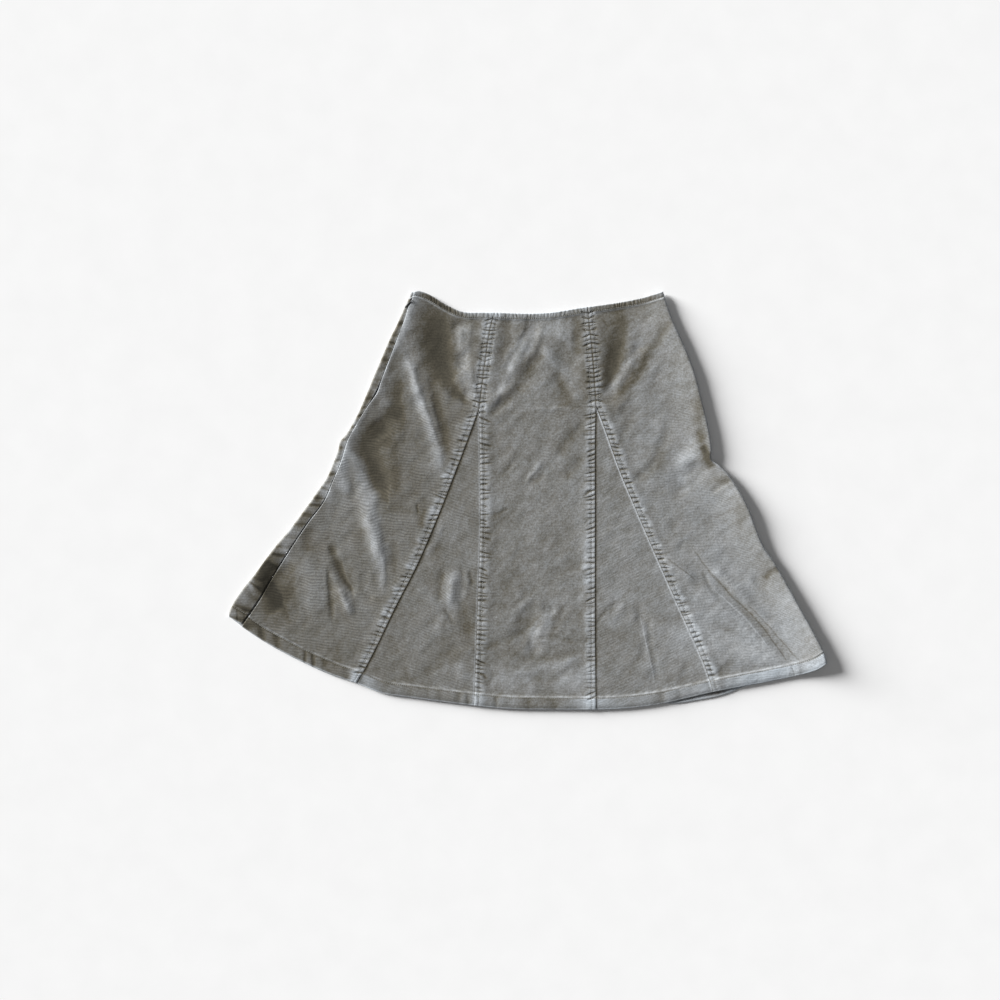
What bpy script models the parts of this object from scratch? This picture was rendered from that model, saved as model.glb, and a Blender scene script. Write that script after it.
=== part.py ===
"""A flared corduroy skirt with two front godets, laid flat with its front up.

Metres, +Z up, waist towards +Y. The origin is in the middle of the skirt, on the surface that it lies on.

The cloth is a tube that lies on itself. The back is underneath and turns up round the left fold to the left
side seam, where the zip is. The front panels and godets lie on it. The front right panel turns under round the
right fold. The tables and the named sizes are in millimetres, and MM turns them into metres.
"""

import bisect
import math

import bmesh
import bpy
from mathutils import Matrix, Vector
from mathutils.geometry import interpolate_bezier

MM = 0.001

# The cloth.
WALL = 1.2                   # one layer of corduroy with its pile
EDGE_WALL = 1.8              # the wall where the hem is turned up and the waist is faced
HEM_DEPTH = 16.5             # the turned-up hem
WAIST_DEPTH = 7.5            # the stitched waist edge
SEAM_GAP = 0.4               # between two pieces at a seam, along a row

# How the layers lie.
LAYER_GAP = 0.6              # between the walls of the back and the front where the front is pressed down
LOFT = 1.3                   # how much further the front stands off the back in the open cloth
LOFT_FROM_WAIST = 40.0       # where it has all of its loft, below the waist and above the hem
LOFT_FROM_HEM = 60.0
LOFT_AT_HEM = 0.35           # share of the loft that is left at the hem
LEFT_FOLD_HEIGHT = 5.8       # the tube's outer height at its left fold
RIGHT_FOLD_HEIGHT = 6.2      # the same at its right fold
RIGHT_FOLD_LIFT = 2.0        # how far the right fold springs off the surface
LIFT_REACH = 30.0            # how far in from the right fold the underside starts to rise
SWELL_REACH = 26.0           # how far in from a fold the front settles
SIDE_COSINE = 0.87           # of the lean of the side folds: turns a level distance into a square one
TURN_UNDER = 24.0            # the front right panel's share of the underside
ALLOWANCE_STEP = 0.7         # seam allowances pressed away from the godets lift the cloth beside the seam
ALLOWANCE_WIDTH, ALLOWANCE_EASE = 12.0, 5.0
EDGE_EASE = 2.5              # over which the cloth settles beside the hem and the waist edge
HEADING_REACH = 6.0          # either way along a line, to read its heading

# The zip in the left side seam. Distances along the seam are from the waist edge.
SLIDER_AT = 15.0
SLIDER_SIZE = (8.0, 4.4, 2.6)
SLIDER_BASE = 1.6            # height of the slider's underside
SLIDER_ASIDE = 0.95          # from the seam line towards the front panel, as the bridge is
SLIT_AT_SLIDER = 2.0         # how far the front's edge stands back where the bridge comes through
OPEN_FROM, OPEN_TO, OPEN_EASE = 8.0, 23.0, 3.0
SLIT_ZIPPED = 0.3            # how far each edge stands back along the closed zip
SLIT_GAPE = 1.8              # how far the back's edge stands back where the slit gapes
GAPE_FROM, GAPE_TO, GAPE_EASE = 132.0, 182.0, 24.0
TAPE_FROM, TAPE_TO, TAPE_ROWS = 19.8, 182.0, 12
TAPE_WALL = 0.8
TAPE_UNDER_FRONT = 9.0
CLEAR = 0.3                  # between hard pieces and the cloth that they lie on or under
BRIDGE_WIRE = 0.9
BRIDGE_REACH = 1.95          # half the bridge's length, between the middles of its legs
BRIDGE_RISE = 1.25           # of the bridge's top wire over the pull's bar
BRIDGE_BEND = 0.5            # radius of the bridge's bends, and how deep its feet are set in the body
SLIDER_ROUNDING = 0.5
PULL_LEAN = 43.0             # degrees from straight down the skirt towards its left side
PULL_THICK = 0.9
PULL_LENGTH = 13.2
PULL_TIP_RADIUS = 1.2
PULL_PROFILE = ((-0.45, 1.3), (-0.2, 1.5), (3.5, 1.5), (5.0, 1.1), (8.5, 1.1))    # along, half width
EYE = ((0.45, 0.85), (3.2, 0.85))                                                 # along, half width

# Plan of the laid skirt. Each line runs from the waist down to the hem, with the columns across and up.
LEFT_FOLD = (
    (-168, 300), (-172, 290), (-178, 277), (-189, 252), (-199, 232), (-212, 202), (-224, 174),
    (-236, 145), (-247.5, 120), (-263, 94), (-271.5, 84), (-274, 72), (-281, 54), (-290, 33),
    (-303, 14), (-317, -6), (-344, -42), (-367, -69), (-396, -108), (-416, -133), (-429, -154),
    (-434, -168))
SIDE_SEAM = (
    (-163, 302), (-170, 286), (-178, 261), (-189, 232), (-200, 203), (-211, 174), (-218, 155),
    (-232, 135), (-248, 109), (-260, 87), (-270, 56), (-282, 27), (-295, -2), (-317, -31), (-342, -68),
    (-368, -109), (-390, -146), (-414, -180))
LEFT_SEAM = ((-47, 270), (-52, 254), (-56, 234), (-60, 206), (-64, 176), (-67, 152), (-70, 130))
LEFT_GODET_OUTER = (
    (-70, 130), (-82, 97), (-104, 39), (-126, -17), (-158, -92), (-190, -154), (-221, -218),
    (-246, -265))
LEFT_GODET_INNER = ((-70, 130), (-69, 93), (-68, 29), (-68, -58), (-71, -131), (-75, -249), (-77, -298))
RIGHT_SEAM = ((88, 278), (90, 254), (94, 220), (97, 181), (100, 136))
RIGHT_GODET_INNER = ((100, 136), (99, 86), (99, -29), (99, -170), (100, -302.5))
RIGHT_GODET_OUTER = (
    (100, 136), (111, 108), (134, 44), (163, -25), (190, -87), (222, -159), (256, -235), (270, -277))
RIGHT_FOLD = (
    (197, 300), (211, 259), (225, 228), (242, 186), (253, 145), (264, 99), (267.5, 72), (267, 59),
    (280, 48), (295, 32), (319, -9), (342, -66), (359, -91), (394, -153), (428, -216), (434, -235))

# These run across the skirt, from its left to its right, with the same columns.
WAIST = (
    (-168, 300), (-163, 302), (-156, 303), (-141, 297), (-117, 282), (-93, 272), (-64, 271), (-35, 270),
    (3, 269), (39, 271), (75, 277), (123, 283), (164, 291), (197, 300))
HEM = (
    (-434, -168), (-415, -180), (-388, -196), (-362, -213), (-332, -230), (-286, -252), (-246, -265),
    (-212, -278), (-167, -286), (-126, -293), (-77, -298), (-23, -301.5), (48, -302.5), (98, -302.5),
    (131, -301.5), (164, -298.5), (200, -293), (235, -285), (270, -277), (314, -268), (347, -262),
    (387, -254), (418, -245), (434, -235))
BACK_HEM = (
    (-434, -168), (-415, -180), (-388, -198), (-362, -215), (-332, -232.5), (-286, -254), (-246, -266),
    (-212, -277), (-126, -290), (-23, -299), (98, -300), (164, -298), (200, -295), (214, -296),
    (251, -290), (278, -285), (296, -279), (315, -271), (347, -264), (387, -256), (434, -237))

# Rows of faces: the close ones by their distance from an edge, and even ones between them.
WAIST_ROWS = (0, 4, 7.5, 9.5, 12, 18, 21, 24)
HEM_ROWS = (19, 16.5, 8, 0)
UPPER_ROWS = 8               # down to the level of the godets' points
LOWER_ROWS = 26
LEVEL_ROW = len(WAIST_ROWS) + UPPER_ROWS - 1
ALL_ROWS = len(WAIST_ROWS) + UPPER_ROWS + LOWER_ROWS + len(HEM_ROWS) - 1
TURNED_AT_WAIST = sum(distance <= WAIST_DEPTH for distance in WAIST_ROWS)
TURNED_AT_HEM = sum(distance <= HEM_DEPTH for distance in HEM_ROWS)
GODET_LEVEL = 0.25           # share of each side line above that level
GODET_START = 6.0            # a godet's cloth starts this far below its point

# Columns of faces: the close ones by their distance from a seam or fold, and even ones between them.
SEAM_COLUMNS = (SEAM_GAP / 2, ALLOWANCE_WIDTH / 2, ALLOWANCE_WIDTH, ALLOWANCE_WIDTH + ALLOWANCE_EASE)
SIDE_COLUMNS = (5, 11, 20)
SIDE_PANEL_MIDDLE, CENTRE_PANEL_MIDDLE, GODET_COLUMNS, BACK_COLUMNS = 7, 5, 7, 16
FOLD_FACES = 6               # across the half turn of a fold

# The main folds and hollows of the front. A ridge has a height above 0 and a trough one below it. Both taper
# off over a share of their length at each end.
FOLD_TAPER = 0.35
# from across, from up, to across, to up, half width, height
FOLDS = (
    (-96, 262, -95, 200, 10, 2.4),
    (-95, 205, -83, 145, 9, 1.8),
    (-135, 262, -112, 165, 26, -1.6),
    (-176, 215, -152, 130, 11, 1.8),
    (-160, 150, -120, 95, 11, 1.6),
    (-258, 92, -200, 0, 17, -2.2),
    (-222, 118, -206, 88, 14, -1.8),
    (-243, 12, -207, -105, 10, 2.0),
    (-282, -85, -248, -140, 13, -1.8),
    (-276, -120, -254, -172, 9, 1.6),
    (-392, -142, -340, -70, 14, -1.6),
    (-106, -100, -114, -158, 8, 1.4),
    (-62, 140, -10, 165, 9, 1.2),
    (-52, 130, 14, 262, 9, 2.2),
    (62, 252, 50, 140, 16, -1.6),
    (36, -150, 6, -222, 10, 1.8),
    (14, -140, -16, -215, 13, -1.5),
    (138, 265, 118, 155, 10, -1.6),
    (168, 228, 116, 150, 9, 1.8),
    (186, 226, 122, 128, 10, -1.5),
    (272, 62, 205, 4, 12, -1.9),
    (262, 88, 214, 40, 11, 1.8),
    (356, -100, 330, -128, 13, -2.2),
    (196, -80, 250, -122, 9, 1.5),
    (262, -118, 398, -238, 10, -1.8),
    (232, -60, 392, -222, 9, 1.6),
    (164, -155, 188, -280, 8, 1.4),
)

# Materials: colour, roughness, metallic.
FINISHES = {
    "corduroy": ((0.215, 0.205, 0.18), 0.9, 0.0),
    "zip_tape": ((0.03, 0.03, 0.028), 0.85, 0.0),
    "black_lacquer": ((0.012, 0.012, 0.013), 0.35, 0.6),
}


def ease(value):
    """0 to 1 with a soft start and end."""
    value = min(max(value, 0), 1)
    return value * value * (3 - 2 * value)


def smooth(points, steps=6):
    """A smooth run through the points: a Bezier line whose handles are a third of each span."""
    knots = [Vector((across, up, 0)) for across, up in points]
    neighbours = zip([knots[0], *knots], [*knots[1:], knots[-1]])
    headings = [(after - before).normalized() for before, after in neighbours]
    run = []
    for start, end, leaving, arriving in zip(knots, knots[1:], headings, headings[1:]):
        handle = (end - start).length / 3
        run += interpolate_bezier(start, start + leaving * handle, end - arriving * handle, end, steps)[:-1]
    return [*run, knots[-1]]


class Line:
    """A line on the plan. level is how far along it the row of the godets' points is."""

    def __init__(self, run, level=None):
        self.run = run
        self.reach = [0.0]
        for start, end in zip(run, run[1:]):
            self.reach.append(self.reach[-1] + (end - start).length)
        self.length = self.reach[-1]
        self.level = level or self.length * GODET_LEVEL

    def at(self, distance):
        i = min(max(bisect.bisect_right(self.reach, distance) - 1, 0), len(self.run) - 2)
        share = (distance - self.reach[i]) / (self.reach[i + 1] - self.reach[i])
        return self.run[i].lerp(self.run[i + 1], share)

    def square(self, distance, side):
        """The level direction square to the line, evened out. side is 1 to the skirt's right, -1 to its left."""
        behind = self.at(max(distance - HEADING_REACH, 0))
        heading = self.at(min(distance + HEADING_REACH, self.length)) - behind
        return Vector((-heading.y, heading.x, 0)).normalized() * side

    def across_at(self, up):
        """How far across a line that runs down the skirt is, at a level."""
        for start, end in zip(self.run, self.run[1:]):
            if end.y <= up:
                break
        share = min(max((start.y - up) / (start.y - end.y), 0), 1)
        return start.x + (end.x - start.x) * share

    def up_at(self, across):
        """How far up a line that runs across the skirt is."""
        for start, end in zip(self.run, self.run[1:]):
            if end.x >= across:
                break
        return start.y + (end.y - start.y) * (across - start.x) / (end.x - start.x)

    def inset(self, distance, side):
        """The line moved over to one side."""
        moved = [point + self.square(reach, side) * distance for point, reach in zip(self.run, self.reach)]
        return Line(moved)

    def rows(self):
        """Distances along the line of the rows of faces, from the waist to the hem."""
        top, bottom = WAIST_ROWS[-1], self.length - HEM_ROWS[0]
        upper = [top + (self.level - top) * i / UPPER_ROWS for i in range(1, UPPER_ROWS + 1)]
        lower = [self.level + (bottom - self.level) * i / LOWER_ROWS for i in range(1, LOWER_ROWS + 1)]
        return [*WAIST_ROWS, *upper, *lower, *(self.length - up for up in HEM_ROWS[1:])]


def godet_line(seam, godet_edge):
    """A front seam down to the godet's point, and one edge of the godet from there."""
    upper = smooth(seam)
    return Line(upper + smooth(godet_edge)[1:], level=Line(upper).length)


left_fold, side_seam, right_fold = Line(smooth(LEFT_FOLD)), Line(smooth(SIDE_SEAM)), Line(smooth(RIGHT_FOLD))
left_outer, left_inner = godet_line(LEFT_SEAM, LEFT_GODET_OUTER), godet_line(LEFT_SEAM, LEFT_GODET_INNER)
right_inner = godet_line(RIGHT_SEAM, RIGHT_GODET_INNER)
right_outer = godet_line(RIGHT_SEAM, RIGHT_GODET_OUTER)
waist_edge, front_hem, back_hem = Line(smooth(WAIST)), Line(smooth(HEM)), Line(smooth(BACK_HEM))
left_radius, right_radius = LEFT_FOLD_HEIGHT / 2, RIGHT_FOLD_HEIGHT / 2
left_turn, right_turn = left_fold.inset(left_radius, 1), right_fold.inset(right_radius, -1)


def relief(x, y):
    """Height of the folds and hollows at a point of the plan."""
    total = 0.0
    for x0, y0, x1, y1, half_width, height in FOLDS:
        length = math.hypot(x1 - x0, y1 - y0)
        along = ((x - x0) * (x1 - x0) + (y - y0) * (y1 - y0)) / length ** 2
        off = ((x - x0) * (y1 - y0) - (y - y0) * (x1 - x0)) / length
        total += height * ease(min(along, 1 - along) / FOLD_TAPER) * math.exp(-(off / half_width) ** 2)
    return total


def fold_share(distance):
    """1 on top of a side fold, down to 0 where the front has settled on the back."""
    return math.exp(-(max(distance, 0) / SWELL_REACH) ** 2)


def lift(distance):
    """How far the cloth is lifted off the surface, at a distance in from the right fold."""
    return RIGHT_FOLD_LIFT * max(0, 1 - distance / LIFT_REACH) ** 2


def skin(point, from_waist, from_hem):
    """Height of the outer face of the front cloth at a point of the plan."""
    depth_inside = max(WAIST_DEPTH - from_waist, HEM_DEPTH - from_hem)
    doubled = ease(1 + depth_inside / EDGE_EASE)
    at_hem = LOFT_AT_HEM + (1 - LOFT_AT_HEM) * ease(from_hem / LOFT_FROM_HEM)
    puff = (LOFT + relief(point.x, point.y)) * min(ease(from_waist / LOFT_FROM_WAIST), at_hem)
    pressed = (puff + math.hypot(puff, LAYER_GAP)) / 2
    height = 2 * WALL + LAYER_GAP + 2 * (EDGE_WALL - WALL) * doubled + pressed
    left = (point.x - left_fold.across_at(point.y)) * SIDE_COSINE
    right = (right_fold.across_at(point.y) - point.x) * SIDE_COSINE
    height += (LEFT_FOLD_HEIGHT - height) * fold_share(left - left_radius)
    height += (RIGHT_FOLD_HEIGHT - height) * fold_share(right - right_radius)
    return height + lift(right)


def allowance(distance):
    """Lift of the cloth at a distance from a seam whose allowances lie under it."""
    return ALLOWANCE_STEP * ease(1 + (ALLOWANCE_WIDTH - distance) / ALLOWANCE_EASE)


class Flat:
    """A flat stretch of cloth between two lines, whose end rows follow the waist and the hem."""

    def __init__(self, left, right, bottom, top=waist_edge):
        self.left, self.right, self.top, self.bottom = left, right, top, bottom
        self.left_rows, self.right_rows = left.rows(), right.rows()
        if not top:
            self.left_rows[LEVEL_ROW] += GODET_START
            self.right_rows[LEVEL_ROW] += GODET_START

    def ends(self, row):
        return self.left.at(self.left_rows[row]), self.right.at(self.right_rows[row])

    def width(self, row):
        start, end = self.ends(row)
        return (end - start).length

    def distances(self, row, share):
        """Distances down from the waist edge and up from the hem."""
        down = self.left_rows[row] + (self.right_rows[row] - self.left_rows[row]) * share
        whole = self.left.length + (self.right.length - self.left.length) * share
        return down, whole - down

    def at(self, row, share):
        """The plan point a share of the way across a row."""
        start, end = self.ends(row)
        point = start.lerp(end, share)
        down, remaining = self.distances(row, share)
        done = down / (down + remaining)
        for edge, edge_row, weight in ((self.top, 0, (1 - done) ** 2), (self.bottom, -1, done ** 2)):
            if edge:
                first, last = self.ends(edge_row)
                chord = first.lerp(last, share)
                point.y += (edge.up_at(chord.x) - chord.y) * weight
        return point

    def top_point(self, row, share):
        """The same point on the outer face of the front."""
        point = self.at(row, share)
        point.z = skin(point, *self.distances(row, share))
        return point


left_flat = Flat(side_seam, left_outer, front_hem)
left_godet_flat = Flat(left_outer, left_inner, front_hem, top=None)
centre_flat = Flat(left_inner, right_inner, front_hem)
right_godet_flat = Flat(right_inner, right_outer, front_hem, top=None)
right_flat = Flat(right_outer, right_turn, front_hem)
back_flat = Flat(left_turn, right_turn, back_hem)


def columns(width, left_edge, right_edge, middle):
    """Distances over a row: those near each edge as given, and the rest even."""
    inner = width - left_edge[-1] - right_edge[-1]
    evens = [left_edge[-1] + inner * i / middle for i in range(1, middle)]
    return [*left_edge, *evens, *(width - distance for distance in reversed(right_edge))]


def slit(distance):
    """How far the back's edge and the front's edge stand back from the side seam line."""
    at_slider = ease(min(distance - OPEN_FROM, OPEN_TO - distance) / OPEN_EASE)
    gape = ease(min(distance - GAPE_FROM, GAPE_TO - distance) / GAPE_EASE)
    zipped = SLIT_ZIPPED * ease((TAPE_TO - distance) / GAPE_EASE)
    return SEAM_GAP / 2 + zipped + SLIT_GAPE * gape, SEAM_GAP / 2 + zipped + SLIT_AT_SLIDER * at_slider


def turn(centre, outward, radius, start, end):
    """Points round a fold, from one angle above the level to another, in degrees."""
    angles = [math.radians(start + (end - start) * i / FOLD_FACES) for i in range(FOLD_FACES + 1)]
    return [centre + outward * math.cos(a) * radius + Vector((0, 0, math.sin(a) * radius)) for a in angles]


def panel_row(flat, row, distances, raised):
    """Points over one row of the front. raised gives a distance's height over the plain skin."""
    points = []
    for distance in distances:
        point = flat.top_point(row, distance / flat.width(row))
        point.z += raised(distance)
        points.append(point)
    return points


def left_panel_row(row):
    width = left_flat.width(row)
    _, front_edge = slit(left_flat.left_rows[row])
    over = columns(width, (front_edge, *SIDE_COLUMNS), SEAM_COLUMNS, SIDE_PANEL_MIDDLE)
    return panel_row(left_flat, row, over, lambda distance: allowance(width - distance))


def centre_panel_row(row):
    width = centre_flat.width(row)
    over = columns(width, SEAM_COLUMNS, SEAM_COLUMNS, CENTRE_PANEL_MIDDLE)
    return panel_row(centre_flat, row, over, lambda distance: allowance(min(distance, width - distance)))


def godet_row(flat, row):
    width = flat.width(row)
    cloth = width - SEAM_GAP
    over = [SEAM_GAP / 2 + cloth * i / GODET_COLUMNS for i in range(GODET_COLUMNS + 1)]
    return panel_row(flat, row, over, lambda distance: 0)


def right_panel_row(row):
    """Over the front, round the right fold and back underneath to the hidden right side seam."""
    width = right_flat.width(row)
    over = columns(width, SEAM_COLUMNS, (0, *SIDE_COLUMNS[1:]), SIDE_PANEL_MIDDLE)[:-1]
    points = panel_row(right_flat, row, over, allowance)
    corner = right_flat.at(row, 1)
    centre = corner + Vector((0, 0, right_radius + lift(right_radius)))
    points += turn(centre, right_fold.square(right_fold.rows()[row], 1), right_radius, 90, -90)
    for distance in (TURN_UNDER / 2, TURN_UNDER - SEAM_GAP / 2):
        point = back_flat.at(row, 1 - distance / back_flat.width(row))
        point.z = lift(right_radius + distance)
        points.append(point)
    return points


def back_row(row):
    """From the hidden right side seam over the surface, round the left fold and up to the left side seam."""
    reach = 1 - (TURN_UNDER + SEAM_GAP / 2) / back_flat.width(row)
    points = [back_flat.at(row, reach * (1 - i / BACK_COLUMNS)) for i in range(BACK_COLUMNS)]
    corner = back_flat.at(row, 0)
    centre = corner + Vector((0, 0, left_radius))
    points += turn(centre, left_fold.square(left_fold.rows()[row], -1), left_radius, -90, 90)
    seam_row = side_seam.rows()[row]
    seam = side_seam.at(seam_row)
    strip = (seam - corner).length
    back_edge, _ = slit(seam_row)
    for share in (0.5, 1.0):
        point = corner.lerp(seam, share * (strip - back_edge) / strip)
        point.z = skin(point, seam_row, side_seam.length - seam_row)
        points.append(point)
    return points


def tape_row(row):
    """The zip's tape, just under the two edges of the slit."""
    distance = TAPE_FROM + (TAPE_TO - TAPE_FROM) * row / TAPE_ROWS
    seam = side_seam.at(distance)
    to_left = (seam.x - left_fold.across_at(seam.y)) * SIDE_COSINE - left_radius - CLEAR
    points = []
    for aside in (-to_left, 0.0, TAPE_UNDER_FRONT / 2, TAPE_UNDER_FRONT):
        point = seam + side_seam.square(distance, 1) * aside
        point.z = skin(point, distance, side_seam.length - distance) - WALL - CLEAR
        points.append(point)
    return points


def finish_of(name):
    """A Principled material with its colour, roughness and metallic value."""
    colour, roughness, metallic = FINISHES[name]
    material = bpy.data.materials.new(name)
    material.use_nodes = True
    shader = material.node_tree.nodes["Principled BSDF"]
    shader.inputs["Base Color"].default_value = (*colour, 1)
    shader.inputs["Roughness"].default_value = roughness
    shader.inputs["Metallic"].default_value = metallic
    material.diffuse_color = (*colour, 1)
    return material


def add_object(name, data, finish, collection):
    piece = bpy.data.objects.new(name, data)
    piece.data.materials.append(finish_of(finish))
    collection.objects.link(piece)
    return piece


def cloth(name, point_rows, wall, finish, collection, doubled=()):
    """A wall of cloth inside an open skin. The rows of points run from the waist to the hem, and doubled holds
    the numbers of the rows where the cloth is turned in."""
    last_row, last_column = len(point_rows) - 1, len(point_rows[0]) - 1
    skin_mesh = bmesh.new()
    bmesh.ops.create_grid(skin_mesh, x_segments=last_column, y_segments=last_row, size=0.5)
    skin_mesh.verts.ensure_lookup_table()
    for vertex in skin_mesh.verts:
        row, column = divmod(vertex.index, last_column + 1)
        vertex.co = point_rows[last_row - row][column] * MM
    mesh = bpy.data.meshes.new(name)
    skin_mesh.to_mesh(mesh)
    skin_mesh.free()
    mesh.shade_smooth()
    piece = add_object(name, mesh, finish, collection)
    turned = piece.vertex_groups.new(name="turned_in")
    for row in doubled:
        first = (last_row - row) * (last_column + 1)
        turned.add(range(first, first + last_column + 1), 1.0, "REPLACE")
    solid = piece.modifiers.new("wall", "SOLIDIFY")
    solid.offset = -1
    solid.use_quality_normals = True
    solid.thickness = (EDGE_WALL if doubled else wall) * MM
    if doubled:
        solid.vertex_group = turned.name
        solid.thickness_vertex_group = WALL / EDGE_WALL
    return piece


def make_cloth(collection):
    """The six pieces of corduroy and the zip's tape."""
    whole = range(ALL_ROWS)
    lower = range(LEVEL_ROW, ALL_ROWS)
    hem_rows = range(ALL_ROWS - TURNED_AT_HEM, ALL_ROWS)
    edge_rows = (*range(TURNED_AT_WAIST), *hem_rows)
    godet_hem = [row - LEVEL_ROW for row in hem_rows]
    pieces = (
        ("front_left_panel", [left_panel_row(row) for row in whole], edge_rows),
        ("front_centre_panel", [centre_panel_row(row) for row in whole], edge_rows),
        ("front_right_panel", [right_panel_row(row) for row in whole], edge_rows),
        ("godet_left", [godet_row(left_godet_flat, row) for row in lower], godet_hem),
        ("godet_right", [godet_row(right_godet_flat, row) for row in lower], godet_hem),
        ("back_panel", [back_row(row) for row in whole], edge_rows),
    )
    for name, point_rows, doubled in pieces:
        cloth(name, point_rows, WALL, "corduroy", collection, doubled)
    cloth("zip_tape", [tape_row(row) for row in range(TAPE_ROWS + 1)], TAPE_WALL, "zip_tape", collection)


def pull_frame():
    """The place and heading of the zip's hard pieces: the origin on the pull's bar, X along the pull."""
    seam = side_seam.at(SLIDER_AT) + side_seam.square(SLIDER_AT, 1) * SLIDER_ASIDE
    height = LEFT_FOLD_HEIGHT + CLEAR + PULL_THICK / 2
    place = Matrix.Translation(Vector((seam.x, seam.y, height)) * MM)
    return place @ Matrix.Rotation(math.radians(-90 - PULL_LEAN), 4, "Z")


def make_slider(collection, cutters):
    """The slider's body between the layers, with the wire bridge that comes up through the slit."""
    frame = pull_frame()
    length, width, depth = SLIDER_SIZE
    top = SLIDER_BASE + depth - (LEFT_FOLD_HEIGHT + CLEAR + PULL_THICK / 2)
    body = bmesh.new()
    bmesh.ops.create_cube(body, size=1)
    bmesh.ops.scale(body, vec=Vector((length, width, depth)) * MM, verts=body.verts)
    bmesh.ops.translate(body, vec=Vector((0, 0, top - depth / 2)) * MM, verts=body.verts)
    mesh = bpy.data.meshes.new("zip_slider")
    body.to_mesh(mesh)
    body.free()
    slider = add_object("zip_slider", mesh, "black_lacquer", collection)
    slider.matrix_world = frame
    rounding = slider.modifiers.new("rounding", "BEVEL")
    rounding.width = SLIDER_ROUNDING * MM
    rounding.segments = 2

    curve = bpy.data.curves.new("bridge", "CURVE")
    curve.dimensions = "3D"
    curve.bevel_depth = BRIDGE_WIRE / 2 * MM
    curve.bevel_resolution = 2
    curve.use_fill_caps = True
    half = [(BRIDGE_REACH, top - BRIDGE_BEND)]
    for angle in (0, 45, 90):
        inward = BRIDGE_BEND * (1 - math.cos(math.radians(angle)))
        below = BRIDGE_BEND * (1 - math.sin(math.radians(angle)))
        half.append((BRIDGE_REACH - inward, BRIDGE_RISE - below))
    route = [(-along, up) for along, up in half] + [*reversed(half)]
    wire = curve.splines.new("POLY")
    wire.points.add(len(route) - 1)
    for point, (along, up) in zip(wire.points, route):
        point.co = (along * MM, 0, up * MM, 1)
    source = bpy.data.objects.new("bridge_curve", curve)
    cutters.objects.link(source)
    bpy.context.view_layer.update()
    bridge_mesh = bpy.data.meshes.new_from_object(source.evaluated_get(bpy.context.evaluated_depsgraph_get()))
    welded = bmesh.new()
    welded.from_mesh(bridge_mesh)
    bmesh.ops.remove_doubles(welded, verts=welded.verts, dist=0.00001)
    welded.to_mesh(bridge_mesh)
    welded.free()
    bridge = bpy.data.objects.new("bridge", bridge_mesh)
    bridge.matrix_world = frame
    bridge.hide_render = True
    bridge.display_type = "WIRE"
    cutters.objects.link(bridge)
    bpy.data.objects.remove(source)
    union = slider.modifiers.new("bridge", "BOOLEAN")
    union.operation = "UNION"
    union.object = bridge
    slider.data.set_sharp_from_angle(angle=math.radians(40))
    return slider


def outline_spline(curve, outline):
    spline = curve.splines.new("POLY")
    spline.points.add(len(outline) - 1)
    for point, (along, aside) in zip(spline.points, outline):
        point.co = (along * MM, aside * MM, 0, 1)
    spline.use_cyclic_u = True


def make_pull(collection):
    """The flat pull tab, hinged on the bar at the end of its eye."""
    curve = bpy.data.curves.new("zip_pull", "CURVE")
    curve.dimensions = "2D"
    curve.fill_mode = "BOTH"
    curve.extrude = PULL_THICK / 2 * MM
    side = list(PULL_PROFILE)
    for step in range(7):
        angle = math.radians(90 - 15 * step)
        along = PULL_LENGTH - PULL_TIP_RADIUS * (1 - math.cos(angle))
        side.append((along, PULL_TIP_RADIUS * math.sin(angle)))
    outline_spline(curve, side + [(along, -aside) for along, aside in reversed(side[:-1])])
    outline_spline(curve, [*EYE, *((along, -aside) for along, aside in reversed(EYE))])
    pull = add_object("zip_pull", curve, "black_lacquer", collection)
    hinge = bpy.data.objects.new("pull_hinge", None)
    collection.objects.link(hinge)
    hinge.matrix_world = pull_frame()
    pull.parent = hinge
    return pull


def main():
    for leftover in list(bpy.data.objects):
        bpy.data.objects.remove(leftover)
    skirt = bpy.data.collections.new("a_line_skirt")
    cutters = bpy.data.collections.new("cutters")
    for collection in (skirt, cutters):
        bpy.context.scene.collection.children.link(collection)
    make_cloth(skirt)
    make_slider(skirt, cutters)
    make_pull(skirt)


main()
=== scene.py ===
"""The looks of a flared corduroy skirt with two front godets, laid flat with its front up.

Each cut piece of cloth is a fine shell on its solid's form. The tables and named sizes are in millimetres, in
the solids' own frame: +Z up, waist towards +Y, the origin in the middle of the skirt on the surface under it.
"""

import math

import bpy
import numpy as np
from mathutils import Matrix, Vector


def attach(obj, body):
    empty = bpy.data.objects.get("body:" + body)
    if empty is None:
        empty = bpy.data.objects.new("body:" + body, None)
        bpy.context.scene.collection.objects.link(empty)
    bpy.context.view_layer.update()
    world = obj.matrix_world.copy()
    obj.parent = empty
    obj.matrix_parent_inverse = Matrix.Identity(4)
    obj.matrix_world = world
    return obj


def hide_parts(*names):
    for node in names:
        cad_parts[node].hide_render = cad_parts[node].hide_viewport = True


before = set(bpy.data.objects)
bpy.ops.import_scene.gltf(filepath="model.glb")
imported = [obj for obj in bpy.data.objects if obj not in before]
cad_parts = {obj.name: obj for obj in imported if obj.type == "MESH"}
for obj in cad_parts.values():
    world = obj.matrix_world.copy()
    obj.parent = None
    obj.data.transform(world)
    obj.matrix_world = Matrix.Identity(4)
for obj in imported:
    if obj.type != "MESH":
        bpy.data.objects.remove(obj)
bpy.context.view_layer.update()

MM = 0.001

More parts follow.
